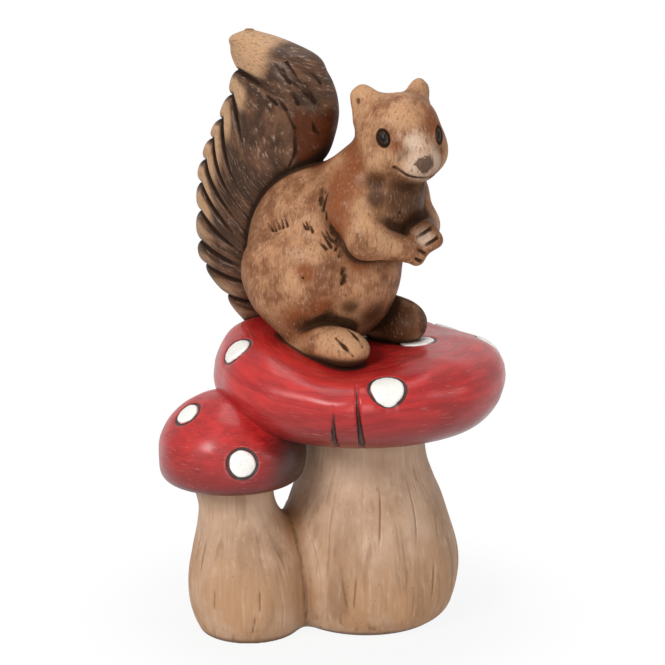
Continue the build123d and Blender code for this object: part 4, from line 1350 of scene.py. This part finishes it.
def painted_locks(name):
    """Dark brown streaked along the locks, dry brushed with tan on their lobes and the tip"""
    finish = Finish(name)
    place = finish.place()
    strand = finish.mark("strand")
    aside = finish.mark("aside")
    sides = finish.node("ShaderNodeSeparateXYZ", output=1, Vector=place)
    along = finish.node("ShaderNodeCombineXYZ", X=strand * 1.9, Y=aside * 0.34, Z=sides * 420)
    hair = finish.cloud(along, 1.0, 4, 0.6)
    broad = finish.node("ShaderNodeCombineXYZ", X=strand * 0.35, Y=aside * 0.10, Z=sides * 60)
    coarse = finish.cloud(broad, 1.0, 3, 0.55)
    patches = finish.cloud(place, 60, 3, 0.6)
    breaks = finish.cloud(place, 220, 3, 0.6)
    grain = finish.cloud(place, 1400, 2, 0.6)
    uneven = (patches - 0.5) * 1.2 + (coarse - 0.5) * 0.8
    finish.start((coarse + uneven * 0.5).over(0.3, 0.75), (0.050, 0.024, 0.013), (0.155, 0.072, 0.038))
    finish.lay((finish.mark("rust") + uneven * 0.5).over(0.15, 0.9) * 0.92, (0.088, 0.019, 0.003))
    finish.lay((finish.mark("pale") + uneven * 0.5).over(0.12, 0.9) * 0.88, (0.63, 0.37, 0.20))
    brushed = hair.over(0.53, 0.66) * breaks.over(0.40, 0.62) * (1 - finish.mark("rust") * 0.8)
    finish.lay(brushed * 0.65, (0.42, 0.30, 0.22))
    finish.lay(finish.mark("parting") * 0.85, (0.028, 0.011, 0.005))
    finish.lay(hair.over(0.46, 0.34) * 0.5, (0.040, 0.018, 0.010))
    finish.lay(grain.over(0.60, 0.72) * 0.3, (0.04, 0.018, 0.009))
    # The wash: brown left in the hollows, partly real wash and partly painted shade
    finish.lay((finish.mark("wash") + uneven * 0.3).over(0.15, 0.95) * 0.92, (0.022, 0.010, 0.005))
    finish.lay(finish.mark("cut").over(0.25, 1.0) * 0.7, (0.030, 0.012, 0.006))
    relief = hair * 1.0 + coarse * 0.5 + grain * 0.15
    dull = finish.mark("wash").over(0, 0.6)
    return finish.paint(
        0.48 + hair * 0.2 + dull * 0.2, relief, 0.0008,
        Specular_IOR_Level=0.12, Coat_Weight=(1 - dull) * 0.18, Coat_Roughness=0.24,
    )


dressed(tail, "tail", painted_locks("painted_locks"))


# Daubs and wash. Once all is luted together, rust is daubed on the squirrel's shoulders and brow,
# pale cream on its muzzle, paws and ears along with a painted highlight on each haunch, and dark
# brown under its chin and along its creases, which is partly painted shade. A thin brown wash is then
# flooded over the whole ornament and wiped off its high places. It is left darkest where clay stands
# close round, as ambient occlusion shades it, so it is partly real wash and partly painted shade.
# Painted shade is also laid on the squirrel's low parts and back, on the caps and spots round where
# it sits, under the large rim, and on the small cap's right side and lip.
def mirrored(daubs):
    """Daubs on the body, each a place and a size, and the same ones on its other side"""
    return [((u, side * v, z), size) for (u, v, z), size in daubs for side in (1, -1)]


def head_daubs(daubs):
    """Daubs given from the middle of the head"""
    return [(off_head(place)[0], size) for place, size in daubs]


rust_daubs = mirrored(
    [
        ((23.5, -19, 71.2), 10), ((24.4, -22.6, 64.0), 9), ((23.4, -21.2, 56.0), 8), ((25.9, -16.2, 79.0), 7),
        ((12.6, -29.5, 36.3), 5), ((30.1, -16.6, 40.6), 6), ((5, -4, 76), 8), ((8, -28, 15), 8),
        ((18, -26, 20), 7), ((-16, -26, 14), 8),
    ]
)
rust_daubs += head_daubs(
    [((13.8, 6.0, 9.5), 6.5), ((14.0, -10.1, -0.1), 3.5), ((-5.1, -19.5, -3.2), 6), ((-5, 18.5, -3), 6)]
)
# Pale daubs on the forelegs, shoulders, feet, haunches, ears and muzzle; the one on the outside of each
# haunch is a painted highlight
pale_and_highlight_daubs = mirrored(
    [
        ((44.5, -19.0, 50.6), 8), ((36.5, -21, 50), 6), ((31.1, -24.0, 9.2), 10), ((22.5, -27, 9), 9),
        ((26, -18, 13), 7), ((33.1, -19.6, 63.0), 5), ((35.6, -21.3, 57.2), 5), ((6, -31, 31), 6),
        ((14, -26, 44), 5),
    ]
)
pale_and_highlight_daubs += head_daubs(
    [
        ((-8.5, -13, 20), 9), ((-8, 11, 20), 11), ((11.2, -5.0, 10.5), 8), ((15.6, -10, -7), 6),
        ((16, 8, -6), 5), ((10, -15, -5), 7), ((10, 13, -5), 7),
    ]
)
cream_daubs = head_daubs([((20.6, -2.9, -8.0), 9), ((16.5, -3.5, 1.5), 5), ((20.0, 4.9, -5.5), 7)])
cream_daubs += [((52, -4, 51), 4)]
# Dark brown daubs on the chest, under the chin and belly, low on the haunches and along the creases: partly
# dark paint, partly painted shade
dark_and_shade_daubs = mirrored(
    [
        ((43.6, -7.6, 66.0), 10), ((36.4, -15.1, 73.0), 5), ((36.7, -14.6, 66.5), 5), ((46.1, 0, 60.2), 12),
        ((42.8, -7.2, 56.7), 8), ((17.1, -18.8, 16.3), 4), ((8.0, -24, 13.5), 5), ((40, 6, 70), 9),
        ((26, -18, 20), 5), ((-22, -24, 16), 6), ((32, -6, 15), 8),
    ]
)
dark_and_shade_daubs += [((28.4, 12.6, 10.0), 12), ((24.5, 6.3, 8.6), 12), ((33, -1, 10), 10), ((38, 22, 10), 9)]
dark_and_shade_daubs += [(np.mean(stroke, 0), 1.7) for stroke in crease_strokes]
nose_daubs = head_daubs([((20.4, 0.2, -5.9), 3.1), ((20.0, -2.4, -6.3), 2.7), ((20, -0.9, -8.4), 2.3)])


def daubed(points, daubs):
    """How much of a colour is daubed on at points, from its daubs by place and size"""
    amount = np.zeros(len(points))
    for place, size in daubs:
        away = np.linalg.norm(points - np.array(place), axis=1)
        amount = np.maximum(amount, np.exp(-((away / size) ** 2)))
    return amount


all_daubs = {
    "rust": rust_daubs, "pale": pale_and_highlight_daubs, "cream": cream_daubs, "dark": dark_and_shade_daubs, "nose": nose_daubs,
}
fur_pieces = [torso, head]
for side in ("right", "left"):
    for part in ("haunch", "hind_foot", "foreleg", "forepaw", "ear"):
        fur_pieces.append(bpy.data.objects[f"{side}_{part}_body"])
for piece in fur_pieces:
    points = seat_points(piece)
    for colour, daubs in all_daubs.items():
        carry(piece, colour, daubed(points, daubs))


def wash_and_occlusion_shade(points, normals, reaches):
    """How much wash and painted shade lie at points: more, the more clay stands round them within these
    reaches
    """
    caught = np.zeros(len(points))
    for reach, share in reaches:
        ahead = (points + normals * reach).astype(np.float32)
        caught += share * np.clip(1 - clay(ahead) / reach, 0, 1)
    return caught


turn_back = np.array(squirrel_seat.inverted().to_3x3()).T
for piece in fur_pieces + [tail]:
    normals = mesh_normals(piece) @ turn_back
    points = seat_points(piece)
    caught = wash_and_occlusion_shade(points, normals, [(1.2, 0.9), (3.0, 0.8), (6.0, 0.55)])
    # Painted contact shade low on each fur piece, where it meets the cap
    ground = 1 - step_up(points[:, 2], 0.5, 5.5)
    if piece.name.endswith("_ear_body"):
        caught = caught * 0.55
    if piece is torso or piece.name.endswith("_haunch_body"):
        # Painted shade over the rump and the low parts, darker towards the bottom and the back
        low = 0.42 * (1 - step_up(points[:, 2], 8, 34))
        shade_behind = 0.4 * step_up(-points[:, 0], 2, 26)
        caught = np.maximum(caught, np.maximum(low, shade_behind))
    carry(piece, "wash", np.maximum(caught, ground * (piece is not tail) * 0.9))
for piece in (large_cap, small_cap):
    away = clay(seat_points(piece).astype(np.float32))
    world = mesh_points(piece)
    # Painted contact shade round where the squirrel sits
    caught = 1 - step_up(away, 0.6, 3.4)
    if piece is small_cap:
        # Painted shade on the small cap's right side, in the large rim's shadow, and under its lip
        right = step_up(world[:, 0], -36, -14) * (1 - 0.5 * step_up(world[:, 2], 88, 104))
        lip = 1 - step_up(world[:, 2], 67, 73)
        caught = np.maximum(caught, np.maximum(right * 0.85, lip * 0.5))
    else:
        # Painted shade under the large cap's rim
        under = 1 - step_up(world[:, 2], 84, 89)
        caught = np.maximum(caught, under * 0.7)
    carry(piece, "wash", caught)
# Painted contact shade on the spots near the squirrel
for name in ("large_cap_spots", "small_cap_spots"):
    piece = bpy.data.objects[name + "_slip"]
    away = clay(seat_points(piece).astype(np.float32))
    carry(piece, "wash", 1 - step_up(away, 0.5, 3.0))
